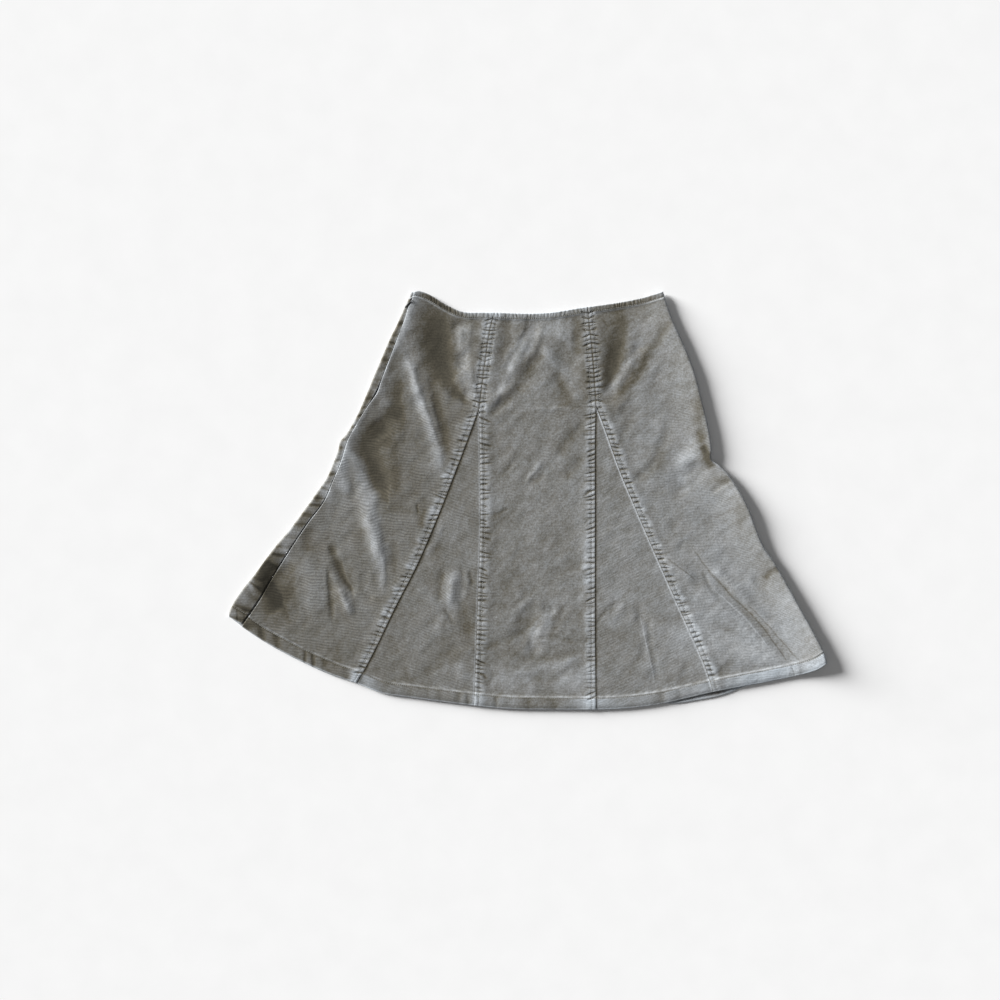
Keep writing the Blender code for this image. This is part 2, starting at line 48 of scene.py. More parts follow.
# The cloth and how its layers lie, as in the solids.
WALL = 1.2
EDGE_WALL = 1.8              # where the hem is turned up and the waist is faced
HEM_DEPTH = 16.5
WAIST_DEPTH = 7.5
EDGE_EASE = 2.5
SEAM_GAP = 0.4
LAYER_GAP = 0.6
LOFT, LOFT_FROM_WAIST, LOFT_FROM_HEM, LOFT_AT_HEM = 1.3, 40.0, 60.0, 0.35
HEM_RISE = 0.15              # how much more of its loft the soft hem keeps than in the solids
LEFT_FOLD_HEIGHT, RIGHT_FOLD_HEIGHT = 5.8, 6.2
SWELL_REACH = 26.0
SIDE_COSINE = 0.87
TURN_UNDER = 24.0
ALLOWANCE_STEP, ALLOWANCE_WIDTH, ALLOWANCE_EASE = 0.4, 10.0, 16.0
HEADING_REACH = 6.0
GODET_LEVEL = 0.25
GODET_START = 3.5

# The soft right fold stands higher than in the solids: by a share of its lift at the waist, by all of it below
# that, and by more round the middle and towards the lower corner.
RIGHT_FOLD_LIFT, LIFT_AT_WAIST, LIFT_TOP, LIFT_RUN, LIFT_REACH = 5.0, 0.5, 302, 60, 55.0
MIDDLE_LIFT, MIDDLE_REACH = 2.4, 40
CORNER_LIFT, CORNER_TOP, CORNER_RUN = 4.2, -20, 190

# The zip in the left side seam. Distances along the seam are from the waist edge.
SLIT_AT_SLIDER, OPEN_FROM, OPEN_TO, OPEN_EASE = 2.0, 8.0, 23.0, 3.0
SLIT_ZIPPED = 0.08
SLIT_SHOWN = 0.75            # the share of the opening beside the slider that the soft edge leaves
SLIT_SPREAD = 20.5           # how far in from the slit the front gives way to it
SLIT_GAPE, GAPE_FROM, GAPE_TO, GAPE_EASE = 1.8, 132.0, 182.0, 24.0
TAPE_FROM, TAPE_TO = 19.8, 182.0

# Plan of the laid skirt, as in the solids: across and up. These run from the waist down to the hem.
LEFT_FOLD = (
    (-168, 300), (-172, 290), (-178, 277), (-189, 252), (-199, 232), (-212, 202), (-224, 174),
    (-236, 145), (-247.5, 120), (-263, 94), (-271.5, 84), (-274, 72), (-281, 54), (-290, 33),
    (-303, 14), (-317, -6), (-344, -42), (-367, -69), (-396, -108), (-416, -133), (-429, -154),
    (-434, -168))
SIDE_SEAM = (
    (-163, 302), (-170, 286), (-178, 261), (-189, 232), (-200, 203), (-211, 174), (-218, 155),
    (-232, 135), (-248, 109), (-260, 87), (-270, 56), (-282, 27), (-295, -2), (-317, -31), (-342, -68),
    (-368, -109), (-390, -146), (-414, -180))
LEFT_SEAM = ((-47, 270), (-52, 254), (-56, 234), (-60, 206), (-64, 176), (-67, 152), (-70, 130))
LEFT_GODET_OUTER = (
    (-70, 130), (-82, 97), (-104, 39), (-126, -17), (-158, -92), (-190, -154), (-221, -218),
    (-246, -265))
LEFT_GODET_INNER = ((-70, 130), (-69, 93), (-68, 29), (-68, -58), (-71, -131), (-75, -249), (-77, -298))
RIGHT_SEAM = ((88, 278), (90, 254), (94, 220), (97, 181), (100, 136))
RIGHT_GODET_INNER = ((100, 136), (99, 86), (99, -29), (99, -170), (100, -302.5))
RIGHT_GODET_OUTER = (
    (100, 136), (111, 108), (134, 44), (163, -25), (190, -87), (222, -159), (256, -235), (270, -277))
RIGHT_FOLD = (
    (197, 300), (211, 259), (225, 228), (242, 186), (253, 145), (264, 99), (267.5, 72), (267, 59),
    (280, 48), (295, 32), (319, -9), (342, -66), (359, -91), (394, -153), (428, -216), (434, -235))

# These run across the skirt, from its left to its right.
WAIST = (
    (-168, 300), (-163, 302), (-156, 303), (-141, 297.5), (-117, 283), (-93, 273), (-64, 272), (-35, 271.5),
    (3, 270.5), (39, 272.5), (75, 278.5), (123, 285), (164, 292.5), (197, 302))
HEM = (
    (-434, -168), (-416, -182), (-390, -200), (-362, -216), (-332, -231.5), (-286, -252), (-246, -266),
    (-212, -279.5), (-167, -286.5), (-126, -292), (-77, -298), (-23, -303), (48, -304), (98, -304),
    (131, -303), (164, -300), (200, -294.5), (235, -286.5), (270, -278.5), (314, -270), (347, -264),
    (387, -255.5), (418, -246), (434, -235))
BACK_HEM = (
    (-434, -168), (-416, -182), (-390, -200.5), (-362, -217), (-332, -232.5), (-286, -253.5), (-246, -266.5),
    (-212, -278), (-126, -290), (-23, -299), (98, -300), (164, -298), (200, -295), (214, -296),
    (251, -290), (278, -285), (296, -279), (315, -271), (347, -264), (387, -256), (434, -237))

# The rows of points, from the waist to the hem. The close ones are at these distances from an edge.
WAIST_ROWS = (0, 0.3, 0.8, 1.5, 2.5, 3.6, 4.8, 6, 7, 7.5, 8, 8.8, 9.8, 11, 12.5, 14.2, 16, 18, 20, 22, 24)
HEM_ROWS = (
    24, 22, 20.5, 19.2, 18.2, 17.3, 16.5, 15.8, 15, 14, 12.8, 11.5, 10, 8.5, 7, 5.5, 4, 2.8, 1.8, 1, 0.4, 0)
FRONT_ROWS = (72, 240)       # down to the godets' points, and from there
BACK_ROWS = (46, 160)

# The columns of points: the close ones by their distance from a seam or fold, and even ones between them.
STITCH_AT = 6.2              # the topstitched row beside a seam
SEAM_COLUMNS = (0.08, 0.3, 0.7, 1.3, 2, 2.9, 4, 5.1, STITCH_AT, 7.3, 8.6, 10, 11.6, 13.4, 15.4, 17.6, 20, 23)
STITCH_COLUMN = SEAM_COLUMNS.index(STITCH_AT)
SIDE_COLUMNS = (0, 0.25, 0.6, 1.1, 1.9, 3, 4.5, 6.5, 9, 12, 16, 20)
TURN_COLUMNS = (0, 2.5, 5, 8, 12, 16, 20)
MOST_AT_EDGES = 0.9          # the share of a narrow row that they may take up
FOLD_FACES = 14
LEFT_MIDDLE, CENTRE_MIDDLE, RIGHT_MIDDLE, GODET_MIDDLE = 100, 96, 90, 44
UNDER_COLUMNS, STRIP_COLUMNS, TURNED_UNDER_COLUMNS = 84, 16, 8

# The main folds and hollows, as in the solids. A ridge has a height above 0 and a trough one below it.
FOLD_TAPER = 0.35
# from across, from up, to across, to up, half width, height
FOLDS = (
    (-96, 262, -95, 200, 10, 2.4),
    (-95, 205, -83, 145, 9, 1.8),
    (-135, 262, -112, 165, 26, -1.6),
    (-176, 215, -152, 130, 11, 1.8),
    (-160, 150, -120, 95, 11, 1.6),
    (-258, 92, -200, 0, 17, -2.2),
    (-222, 118, -206, 88, 14, -1.8),
    (-243, 12, -207, -105, 10, 2.0),
    (-282, -85, -248, -140, 13, -1.8),
    (-276, -120, -254, -172, 9, 1.6),
    (-392, -142, -340, -70, 14, -1.6),
    (-106, -100, -114, -158, 8, 1.4),
    (-62, 140, -10, 165, 9, 1.2),
    (-52, 130, 14, 262, 9, 2.2),
    (62, 252, 50, 140, 16, -1.6),
    (36, -150, 6, -222, 10, 1.8),
    (14, -140, -16, -215, 13, -1.5),
    (138, 265, 118, 155, 10, -1.6),
    (168, 228, 116, 150, 9, 1.8),
    (186, 226, 122, 128, 10, -1.5),
    (272, 62, 205, 4, 12, -1.9),
    (262, 88, 214, 40, 11, 1.8),
    (356, -100, 330, -128, 13, -2.2),
    (196, -80, 250, -122, 9, 1.5),
    (262, -118, 398, -238, 10, -1.8),
    (232, -60, 392, -222, 9, 1.6),
    (164, -155, 188, -280, 8, 1.4),
)

# Creases and hollows that are finer than those, or that move and soften them. Each has a height, how much paler
# it is painted (worn ridges, and painted light and shade on ridges and hollows), and its path: across, up, and its
# half widths to the left and to the right of its run. A run down the skirt has +X on its left.
CREASES = (
    # front left panel
    (0.6, 0.22, (-166, 292, 10, 8), (-174, 255, 14, 5), (-172, 215, 20, 10), (-160, 190, 14, 14)),
    (0.6, 0.18, (-188, 240, 3, 6), (-178, 210, 4, 8), (-164, 182, 4, 8)),
    (-1.6, 0.0, (-176, 215, 11, 11), (-164, 172, 11, 11), (-152, 130, 11, 11)),
    (1.3, 0.56, (-170, 204, 6, 8), (-158, 166, 5, 8), (-146, 126, 4, 9), (-134, 93, 4, 11),
        (-127, 62, 7, 12), (-121, 38, 6, 9)),
    (-2.0, -0.58, (-126, 282, 23, 25), (-128, 240, 22, 25), (-126, 205, 21, 23), (-113, 172, 9, 16),
        (-84, 136, 4, 5)),
    (1.3, 0.24, (-86, 262, 6, 18), (-88, 232, 7, 20), (-87, 203, 7, 19), (-82, 176, 6, 14),
        (-75, 152, 4, 9), (-70, 136, 3, 4)),
    (-3.6, 0.0, (-96, 262, 10, 10), (-95, 200, 10, 10)),
    (-2.7, 0.0, (-95, 205, 9, 9), (-83, 145, 9, 9)),
    (0.6, -0.12, (-80, 240, 8, 6), (-76, 215, 8, 7), (-74, 190, 7, 5)),
    (-1.1, -0.30, (-140, 180, 8, 5), (-131, 142, 10, 5), (-123, 105, 9, 5), (-114, 70, 5, 5)),
    (0.5, 0.12, (-122, 165, 6, 5), (-118, 140, 6, 5)),
    (-0.9, -0.48, (-185, 176, 8, 10), (-186, 145, 9, 13), (-194, 115, 12, 16)),
    (-1.3, -0.55, (-192, 122, 10, 12), (-228, 92, 24, 14), (-224, 58, 18, 12), (-209, 22, 7, 14),
        (-202, -5, 2, 14)),
    (0.5, 0.25, (-212, 162, 8, 6), (-204, 135, 7, 7)),
    (0.3, 0.15, (-200, 72, 8, 8), (-190, 48, 8, 8)),
    (1.1, 0.58, (-262, 80, 6, 6), (-246, 52, 7, 7), (-232, 18, 9, 12), (-223, -25, 8, 14),
        (-214, -65, 6, 12), (-208, -98, 5, 10), (-207, -132, 4, 6)),
    (0.6, 0.34, (-123, -36, 4, 5), (-133, -58, 6, 5), (-146, -82, 5, 4)),
    (-0.8, -0.08, (-236, -100, 6, 7), (-238, -126, 8, 6), (-226, -147, 6, 5)),
    (0.9, 0.36, (-272, 58, 8, 5), (-268, 30, 9, 8), (-260, 8, 7, 8)),
    (-0.5, -0.15, (-257, 40, 6, 6), (-250, 2, 6, 8)),
    (-1.4, -0.40, (-286, -60, 9, 6), (-276, -92, 5, 6), (-263, -117, 3, 4), (-251, -139, 2, 3)),
    (0.9, 0.30, (-281, -104, 4, 4), (-270, -132, 5, 5), (-261, -150, 6, 5), (-254, -170, 5, 5)),
    (0.8, 0.22, (-322, -84, 10, 10), (-312, -118, 16, 12), (-308, -152, 14, 12), (-300, -172, 8, 10)),
    (-1.0, -0.28, (-291, -100, 4, 2), (-286, -135, 5, 3), (-283, -176, 5, 5)),
    (-0.6, -0.25, (-343, -88, 8, 6), (-346, -118, 8, 10), (-334, -150, 5, 8)),
    (-0.8, -0.66, (-374, -118, 6, 8), (-362, -140, 8, 22), (-351, -158, 3, 34)),
    (-0.4, -0.25, (-316, -40, 7, 8), (-323, -78, 8, 6)),
    (-0.5, -0.30, (-160, -6, 2, 2), (-156, -20, 2, 2)),
    (-0.4, -0.15, (-165, -20, 8, 8), (-200, -8, 8, 8)),
    (-0.5, -0.20, (-196, -55, 8, 8), (-190, -100, 8, 8)),
    # left godet
    (0.7, 0.42, (-100, -97, 6, 8), (-106, -119, 8, 8), (-108, -141, 8, 8), (-101, -164, 7, 5)),
    (-0.6, -0.26, (-118, -100, 4, 6), (-127, -122, 4, 6), (-127, -146, 3, 5)),
    (0.7, 0.26, (-90, -96, 4, 4), (-88, -115, 4, 4), (-92, -140, 4, 4)),
    (-0.5, -0.26, (-83, -104, 3, 3), (-81, -122, 3, 3)),
    (-0.5, -0.24, (-96, -146, 6, 5), (-90, -172, 7, 7), (-86, -200, 5, 8)),
    (0.5, 0.24, (-84, -212, 7, 6), (-96, -236, 8, 8), (-92, -262, 7, 7)),
    (0.3, 0.04, (-128, -178, 5, 6), (-122, -200, 6, 6)),
    (-0.7, -0.26, (-119, -157, 2, 2), (-112, -167, 3, 3), (-103, -180, 3, 3)),
    (0.3, 0.06, (-118, -166, 5, 5), (-140, -200, 6, 6), (-164, -232, 5, 5)),
    (-0.5, -0.20, (-98, -205, 6, 6), (-118, -222, 9, 9), (-150, -255, 8, 8)),
    # front centre panel
    (-3.5, 0.0, (14, 262, 9, 9), (-19, 196, 9, 9), (-47, 140, 8, 8)),
    (0.8, 0.08, (22, 260, 10, 12), (6, 234, 10, 12), (-9, 208, 8, 10), (-24, 180, 6, 8), (-41, 154, 5, 6),
        (-57, 134, 3, 4)),
    (-1.4, -0.34, (20, 230, 6, 4), (12, 200, 9, 8), (-4, 172, 10, 9), (-28, 150, 7, 6), (-58, 122, 5, 4)),
    (-1.1, -0.34, (-26, 264, 9, 10), (-29, 235, 9, 10), (-36, 205, 6, 10)),
    (-0.5, -0.25, (2, 264, 4, 3), (-4, 244, 3, 3)),
    (0.8, 0.30, (18, 228, 7, 6), (36, 206, 8, 7), (54, 180, 9, 7), (76, 146, 8, 6)),
    (0.5, 0.20, (53, 264, 7, 7), (50, 232, 6, 8)),
    (-0.9, -0.52, (74, 268, 9, 7), (73, 240, 9, 7), (71, 212, 6, 7)),
    (-0.4, -0.42, (45, 188, 4, 4), (50, 168, 14, 9), (58, 146, 22, 18)),
    (0.6, 0.20, (10, 132, 3, 3), (40, 133.5, 2, 4), (82, 131, 2, 4)),
    (-0.8, -0.32, (82, 114, 9, 6), (72, 98, 9, 7), (54, 78, 8, 7), (45, 62, 5, 5)),
    (-0.6, -0.20, (83, 64, 6, 5), (66, 50, 6, 5), (54, 36, 4, 4)),
    (0.8, 0.26, (20, 54, 3, 4), (7, 40, 3, 4), (2, 24, 3, 3)),
    (-0.6, -0.20, (22, 38, 5, 4), (10, 24, 5, 4)),
    (-0.5, -0.20, (-21, 57, 4, 4), (-38, 34, 4, 4)),
    (0.3, 0.12, (-56, -6, 8, 8), (-34, -8, 6, 6)),
    (-0.5, -0.22, (-60, -19, 2, 3), (-42, -18, 2, 3), (-26, -10, 2, 3)),
    (-3.0, 0.0, (36, -150, 10, 10), (21, -186, 10, 10), (6, -222, 10, 10)),
    (0.5, 0.16, (42, -150, 8, 10), (30, -174, 8, 10), (17, -198, 7, 9), (9, -214, 4, 5)),
    (0.5, 0.22, (4, -142, 6, 5), (-12, -160, 6, 6), (-24, -178, 5, 6)),
    (-0.6, -0.24, (12, -176, 5, 5), (-10, -192, 6, 6), (-34, -204, 6, 6), (-58, -212, 5, 5)),
    (-0.7, -0.22, (58, -152, 5, 6), (42, -176, 7, 6), (34, -192, 5, 4)),
    (-0.5, -0.16, (8, -208, 2, 3), (30, -198, 2, 5), (60, -204, 2, 5), (86, -208, 2, 4)),
    (0.5, 0.20, (-58, -246, 5, 6), (-10, -250, 6, 6), (40, -240, 6, 7), (84, -230, 5, 6)),
    (-0.5, -0.20, (-20, -228, 6, 6), (40, -226, 6, 6), (80, -222, 6, 6)),
    (-0.4, -0.18, (0, -258, 6, 5), (30, -262, 5, 5), (60, -250, 4, 4)),
    (0.5, 0.18, (-14, -128, 6, 6), (-10, -146, 5, 5)),
    # front right panel
    (-0.4, -0.56, (138, 290, 9, 36), (138, 240, 9, 36), (131, 205, 8, 28), (119, 174, 6, 14),
        (106, 158, 4, 5)),
    (-3.0, 0.0, (168, 228, 9, 9), (142, 189, 9, 9), (116, 150, 9, 9)),
    (2.5, 0.0, (186, 226, 10, 10), (154, 177, 10, 10), (122, 128, 10, 10)),
    (0.6, 0.08, (184, 244, 8, 9), (163, 210, 8, 9), (143, 181, 7, 8), (120, 150, 5, 5)),
    (-0.8, -0.46, (206, 258, 7, 9), (189, 229, 9, 11), (170, 200, 10, 11), (146, 168, 9, 10),
        (119, 138, 7, 7)),
    (0.0, -0.26, (202, 74, 6, 6), (185, 45, 8, 7), (164, 26, 6, 6)),
    (-0.3, -0.3, (251, 106, 5, 6), (252, 84, 6, 6), (259, 66, 5, 5)),
    (0.6, 0.10, (206, 246, 8, 6), (186, 205, 12, 6), (158, 162, 10, 5)),
    (-0.6, -0.20, (156, 128, 6, 6), (146, 108, 6, 6), (136, 88, 4, 5)),
    (-0.9, -0.85, (254, 82, 4, 4), (258, 68, 8, 7), (264, 56, 8, 10), (272, 46, 5, 6)),
    (-0.9, -0.26, (297, 29, 3, 5), (282, 22, 4, 8), (266, 9, 4, 7)),
    (-0.9, -0.16, (206, 108, 7, 6), (196, 84, 9, 8), (184, 56, 9, 6), (164, 36, 6, 5), (150, 28, 4, 4)),
    (-0.8, 0.12, (238, 96, 12, 10), (226, 60, 14, 12), (222, 28, 12, 10)),
    (-0.5, -0.16, (214, -28, 7, 6), (206, -46, 6, 6)),
    (-0.4, -0.14, (226, -56, 5, 5), (224, -76, 5, 5)),
    (-0.2, -0.30, (272, -112, 4, 4), (320, -162, 7, 7), (382, -230, 10, 10)),
    (-0.6, -0.20, (255, -106, 2, 3), (278, -143, 2, 3)),
    (-0.9, -0.52, (364, -98, 6, 6), (353, -106, 8, 7), (345, -116, 5, 4)),
    (-0.5, -0.20, (268, -177, 4, 5), (316, -203, 5, 6)),
    (-0.6, -0.35, (296, -232, 5, 5), (284, -248, 6, 5), (262, -258, 5, 4)),
    # right godet
    (-2.0, 0.0, (164, -156, 9, 8), (176, -215, 9, 8), (187, -272, 9, 8)),
    (-0.5, -0.25, (172, -168, 4, 3), (180, -215, 4, 3), (183, -240, 5, 4)),
    (0.4, 0.15, (142, -152, 5, 5), (116, -182, 5, 5)),
    (-0.4, -0.18, (126, -150, 3, 3), (100, -182, 3, 3)),
    (-0.6, -0.20, (232, -232, 6, 6), (226, -262, 7, 6)),
    (-0.4, -0.16, (232, -145, 6, 6), (222, -170, 6, 6)),
)

# Creases as thin as a line: worn pale ridges, and dark furrows.
RIDGES = (
    ((252, -108), (270, -128), (292, -148), (312, -167), (343, -203), (369, -239)),
    ((162, -138), (165, -168), (169, -192), (176, -220), (182, -246), (185, -272), (186, -298)),
)
FURROWS = (
    ((199, -82), (220, -97), (247, -118)),
    ((314, -146), (331, -163), (348, -180), (366, -201), (394, -232), (404, -243)),
    ((230, -56), (246, -78), (268, -108), (297, -139), (327, -168), (356, -203), (380, -239), (386, -249)),
    ((256, -92), (268, -106), (282, -122)),
    ((383, -240), (388, -256)),
)

# Broad patches painted paler or darker, as fading and staining of the dye and as painted light and shade over
# ridges and hollows: across, up, half width across, half width up, and how much paler.
FADES = (
    # over the fronts
    (-140, 150, 90, 120, -0.12), (-94, 215, 16, 48, -0.16), (-300, -150, 80, 60, -0.16),
    (-280, -225, 50, 20, -0.10), (-370, -140, 30, 40, -0.18), (-374, -128, 9, 10, -0.30),
    (-361, -144, 10, 10, -0.34), (-350, -158, 7, 8, -0.24), (-135, -80, 50, 70, -0.10),
    (-147, -32, 9, 20, -0.50), (-10, -60, 60, 120, 0.02), (206, 116, 40, 60, -0.10),
    (-245, -145, 22, 18, 0.16), (30, 250, 24, 16, 0.26), (70, -262, 26, 18, 0.34),
    (-15, -262, 50, 12, 0.32), (35, -100, 30, 14, 0.12), (210, 120, 80, 90, 0.08), (290, 0, 80, 90, 0.26),
    (300, -120, 60, 60, 0.16), (380, -190, 60, 60, 0.28), (240, -190, 50, 60, 0.36),
    (222, 255, 12, 12, 0.18), (155, -90, 40, 60, 0.10), (0, 180, 70, 60, 0.12), (160, 284, 26, 20, -0.30),
    (90, 180, 13, 48, -0.52), (60, 138, 18, 14, -0.46), (-194, 36, 12, 54, -0.46),
    (-243, -50, 10, 24, -0.24), (-114, 84, 10, 46, -0.26), (-90, 124, 9, 12, -0.25),
    (130, 68, 8, 26, -0.28), (310, -60, 24, 28, -0.22), (345, -226, 28, 20, 0.26),
    (306, -160, 16, 10, 0.24), (-207, -88, 6, 12, 0.36), (-212, -146, 20, 8, -0.28),
    (-80, -82, 14, 18, 0.16), (-76, -180, 14, 50, -0.18), (28, -78, 30, 40, -0.06),
    (-165, 12, 14, 30, -0.2), (-102, -45, 20, 45, 0.20), (-220, -197, 12, 14, 0.24),
    (172, 78, 28, 40, 0.20), (222, 36, 15, 18, 0.46), (248, 124, 9, 34, -0.40), (276, 30, 14, 11, -0.40),
    (311, -12, 12, 18, -0.38), (284, -88, 14, 18, 0.22), (318, -208, 50, 34, 0.32),
    (-295, -130, 5, 30, 0.20), (-258, -148, 6, 14, 0.30), (-275, -138, 5, 16, -0.20),
    (-264, 46, 8, 34, 0.46), (-350, -82, 7, 24, 0.55), (162, 232, 14, 26, -0.10), (-213, 118, 8, 14, 0.20),
    (-182, 112, 9, 26, -0.24), (-202, 86, 10, 12, -0.18), (-315, -70, 10, 14, -0.18),
    (-352, -138, 10, 10, -0.22), (-118, 16, 8, 10, 0.20), (-112, -152, 5, 20, 0.24),
    (-64, -145, 8, 18, -0.14), (171, -8, 8, 10, 0.22), (205, -93, 9, 8, -0.20), (188, 100, 9, 14, 0.18),
    (320, -124, 12, 10, 0.22), (420, -231, 12, 8, -0.30), (-97, -225, 12, 10, -0.34),
    (-91, 214, 9, 6, 0.16), (-97, -145, 5, 12, 0.24), (-271, -232, 12, 8, -0.20), (-242, -232, 10, 8, 0.20),
    (250, 87, 8, 10, -0.30), (309, -29, 9, 10, -0.25), (290, 29, 14, 8, -0.20), (222, -174, 12, 12, -0.25),
    (280, -258, 10, 7, -0.25), (309, -174, 9, 9, 0.28), (367, -145, 9, 9, 0.20), (108, 145, 8, 9, -0.25),
    (-184, 232, 8, 12, 0.25), (2, 192, 14, 16, -0.14), (-213, 0, 8, 10, -0.18), (338, -87, 10, 14, -0.25),
    (106, -258, 8, 6, 0.20), (35, 58, 14, 12, 0.12), (66, 22, 9, 10, 0.16), (62, -58, 8, 8, 0.12),
    (-42, -4, 9, 8, 0.14), (-22, -52, 12, 12, 0.10), (39, 6, 12, 8, -0.12), (56, 36, 8, 5, -0.14),
    (-42, 32, 10, 7, -0.12), (24, -46, 5, 14, -0.10), (190, 62, 16, 22, -0.20), (135, -140, 22, 14, 0.16),
    (140, -200, 30, 16, -0.10), (-19, 81, 9, 9, 0.12), (60, 112, 16, 12, -0.12), (-220, -10, 8, 20, 0.14),
    (116, 130, 9, 13, -0.36), (-110, 162, 9, 12, 0.20), (-52, 136, 6, 8, 0.16), (15, -178, 10, 12, -0.20),
    (80, -175, 8, 10, -0.16), (194, -172, 12, 12, -0.16), (222, -262, 14, 9, -0.22),
    (-180, -262, 60, 8, -0.12), (277, 62, 10, 30, 0.14), (330, -268, 10, 4, -0.16),
    # over the strip of the back beside the left side seam
    (-190, 245, 8, 20, -0.20), (-206, 205, 8, 10, -0.25), (-216, 180, 8, 10, 0.12),
    (-228, 150, 7, 8, -0.40), (-240, 130, 6, 6, -0.15), (-250, 108, 6, 8, 0.30), (-262, 85, 6, 10, 0.30),
    (-276, 50, 7, 12, 0.16), (-290, 14, 10, 14, 0.80), (-303, 2, 4, 6, -0.50), (-314, -8, 7, 7, 0.25),
    (-324, -24, 6, 6, -0.20), (-346, -50, 12, 12, 0.40), (-380, -98, 13, 24, -0.80),
    (-399, -126, 5, 7, 0.85), (-410, -142, 8, 7, 0.40), (-410, -160, 12, 5, -0.50),
    (-428, -165, 5, 8, 0.35), (-400, -180, 12, 6, -0.40),
)

# The tone of the stitched waist edge and of the hem: across, how much paler (the waist's darker stretch at the left
# is painted shade of a fold), and how deep their gathers are.
WAIST_TONES = (
    (-168, 0.20, 0.6), (-150, -0.30, 0.6), (-125, -0.45, 0.7), (-100, -0.10, 0.8), (-85, 0.40, 0.35),
    (-62, 0.35, 0.5), (-45, 0.25, 0.9), (-20, 0.32, 0.9), (5, 0.30, 0.9), (38, 0.40, 0.5), (60, 0.15, 0.8),
    (110, -0.05, 1.0), (160, -0.10, 1.0), (197, 0.05, 0.6),
)
HEM_TONES = (
    (-434, 0.05, 0.6), (-400, -0.25, 0.9), (-340, -0.05, 0.9), (-265, -0.05, 0.7), (-252, 0.55, 0.3),
    (-226, 0.50, 0.3), (-205, 0.12, 0.4), (-150, 0.04, 0.4), (-100, 0.10, 0.5), (-78, 0.22, 0.6),
    (-39, 0.14, 0.6), (48, -0.02, 0.6), (75, 0.34, 0.5), (98, 0.58, 0.5), (130, 0.36, 0.5),
    (190, 0.22, 0.6), (230, 0.32, 0.5), (258, 0.46, 0.4), (274, -0.15, 0.4), (290, 0.55, 0.4),
    (338, 0.85, 0.5), (380, 0.62, 0.5), (396, 0.42, 0.5), (434, 0.75, 0.5),
)

# The soft folds of the underside, as rows of the same kind as the main folds.
UNDER_FOLDS = (
    (-150, 220, -230, 20, 26, 0.5), (-40, 180, -70, -120, 22, 0.5), (60, 230, 95, 40, 20, 0.4),
    (170, 60, 260, -120, 26, 0.5), (20, -60, -10, -230, 24, 0.5), (-250, -60, -330, -170, 22, 0.5),
    (120, -120, 150, -260, 18, 0.4), (-150, -100, -180, -240, 20, 0.4),
)
UNDER_FADE = 40.0            # how far in from the waist and the hem they reach their full height

# The front cloth over the back where it is pressed down: the least room it takes, how softly it settles there,
# the least its shell may be, and its gap over the back.
THINNEST, SETTLE, THINNEST_SHELL, REST_GAP = 0.55, 0.5, 0.25, 0.05

# Seeded noise: the cells of its lattice, and where the middle of the skirt lies on it.
NOISE_CELLS, NOISE_ACROSS, NOISE_UP = 64, 32.37, 32.81
# The wanderings of what is placed by the plan: how far, and over what length.
WANDERINGS = ((2.6, 19), (1.2, 8))
LOW_RELIEF, LOW_CREASING = (0.26, 38), (0.16, 10)
# How much paler the cloth is painted where the low relief and the main folds rise and darker where they sink, as
# worn dye and as painted light and shade; how much paler towards the right; and an even darkening.
LOW_WEAR_AND_SHADING, RELIEF_WEAR_AND_SHADING, PALER_TO_RIGHT, EVEN_SHADE = 0.3, 0.09, 0.22, 0.08
CALM_EDGE = 30               # how far in from the waist and the hem the low relief is at its full height
CREASE_HEIGHT, CREASE_WEAR_AND_SHADING, CREASE_SHARPNESS = 0.6, 0.95, 2.4
CREASE_TAPER, CREASE_START = 0.22, 0.3
LINE_FAR, LINE_ENDED, LINE_WANDER, FURROW_ENDS, RIDGE_ENDS = 9.0, 3, 0.8, 0.12, 0.3

# Gathers: their spacing, depth, reach and slant, each from the least to the most.
UPPER_GATHERS = ((4.8, 8.2), (0.45, 1.0), (10, 16), (-0.4, 0.4))
LOWER_GATHERS = ((5.0, 8.8), (0.35, 1.0), (12, 22), (-0.45, 0.2))
SHORT_GATHERS = ((5.0, 8.8), (0.35, 1.0), (9, 17), (-0.45, 0.2))
WAIST_GATHERS = ((3.4, 7.4), (0.2, 0.9), (10, 14), (-0.3, 0.3))
HEM_GATHERS = ((12, 40), (0.1, 0.9), (22, 26), (-0.25, 0.25))
STRIP_GATHERS = ((9, 24), (0.3, 1.0), (18, 40), (-0.5, 0.2))
GATHER_FADE, GATHER_ENDS = 0.45, 2
PUCKER_SINK, WAIST_SINK, HEM_SINK, STRIP_SINK = 0.5, 0.25, 0.22, 0.45

# The padded bands beside the front seams: their reach above the godets' points and below, and how pale each is.
PAD_REACH_ABOVE, PAD_REACH_BELOW, PAD_UNEVEN = 14.5, 18, 4
PAD_FADE, PAD_START, PAD_RISE = 10, 1.8, 0.2
PALE_ABOVE, PALE_BELOW, PALE_LEFT_INNER = 0.48, 0.46, 0.34
PUCKER_REACH, WAIST_REACH, HEM_REACH = 28, 22, 24

# Soft stripes along seams and edges. Each has a strength, how far in from the edge it lies, and a half width.
STITCH_SHADE, STITCH_GROOVE = (-0.22, STITCH_AT, 1.0), (0.25, STITCH_AT, 0.9)
WAIST_RIDGE, HEM_RIDGE = (0.35, 9.5, 1.3), (0.4, 18.6, 1.3)
GROOVE, GROOVE_WIDTH, WAIST_GROOVE_EASED, HEM_GROOVE_EASED = 0.5, 0.9, 0.15, 0.1
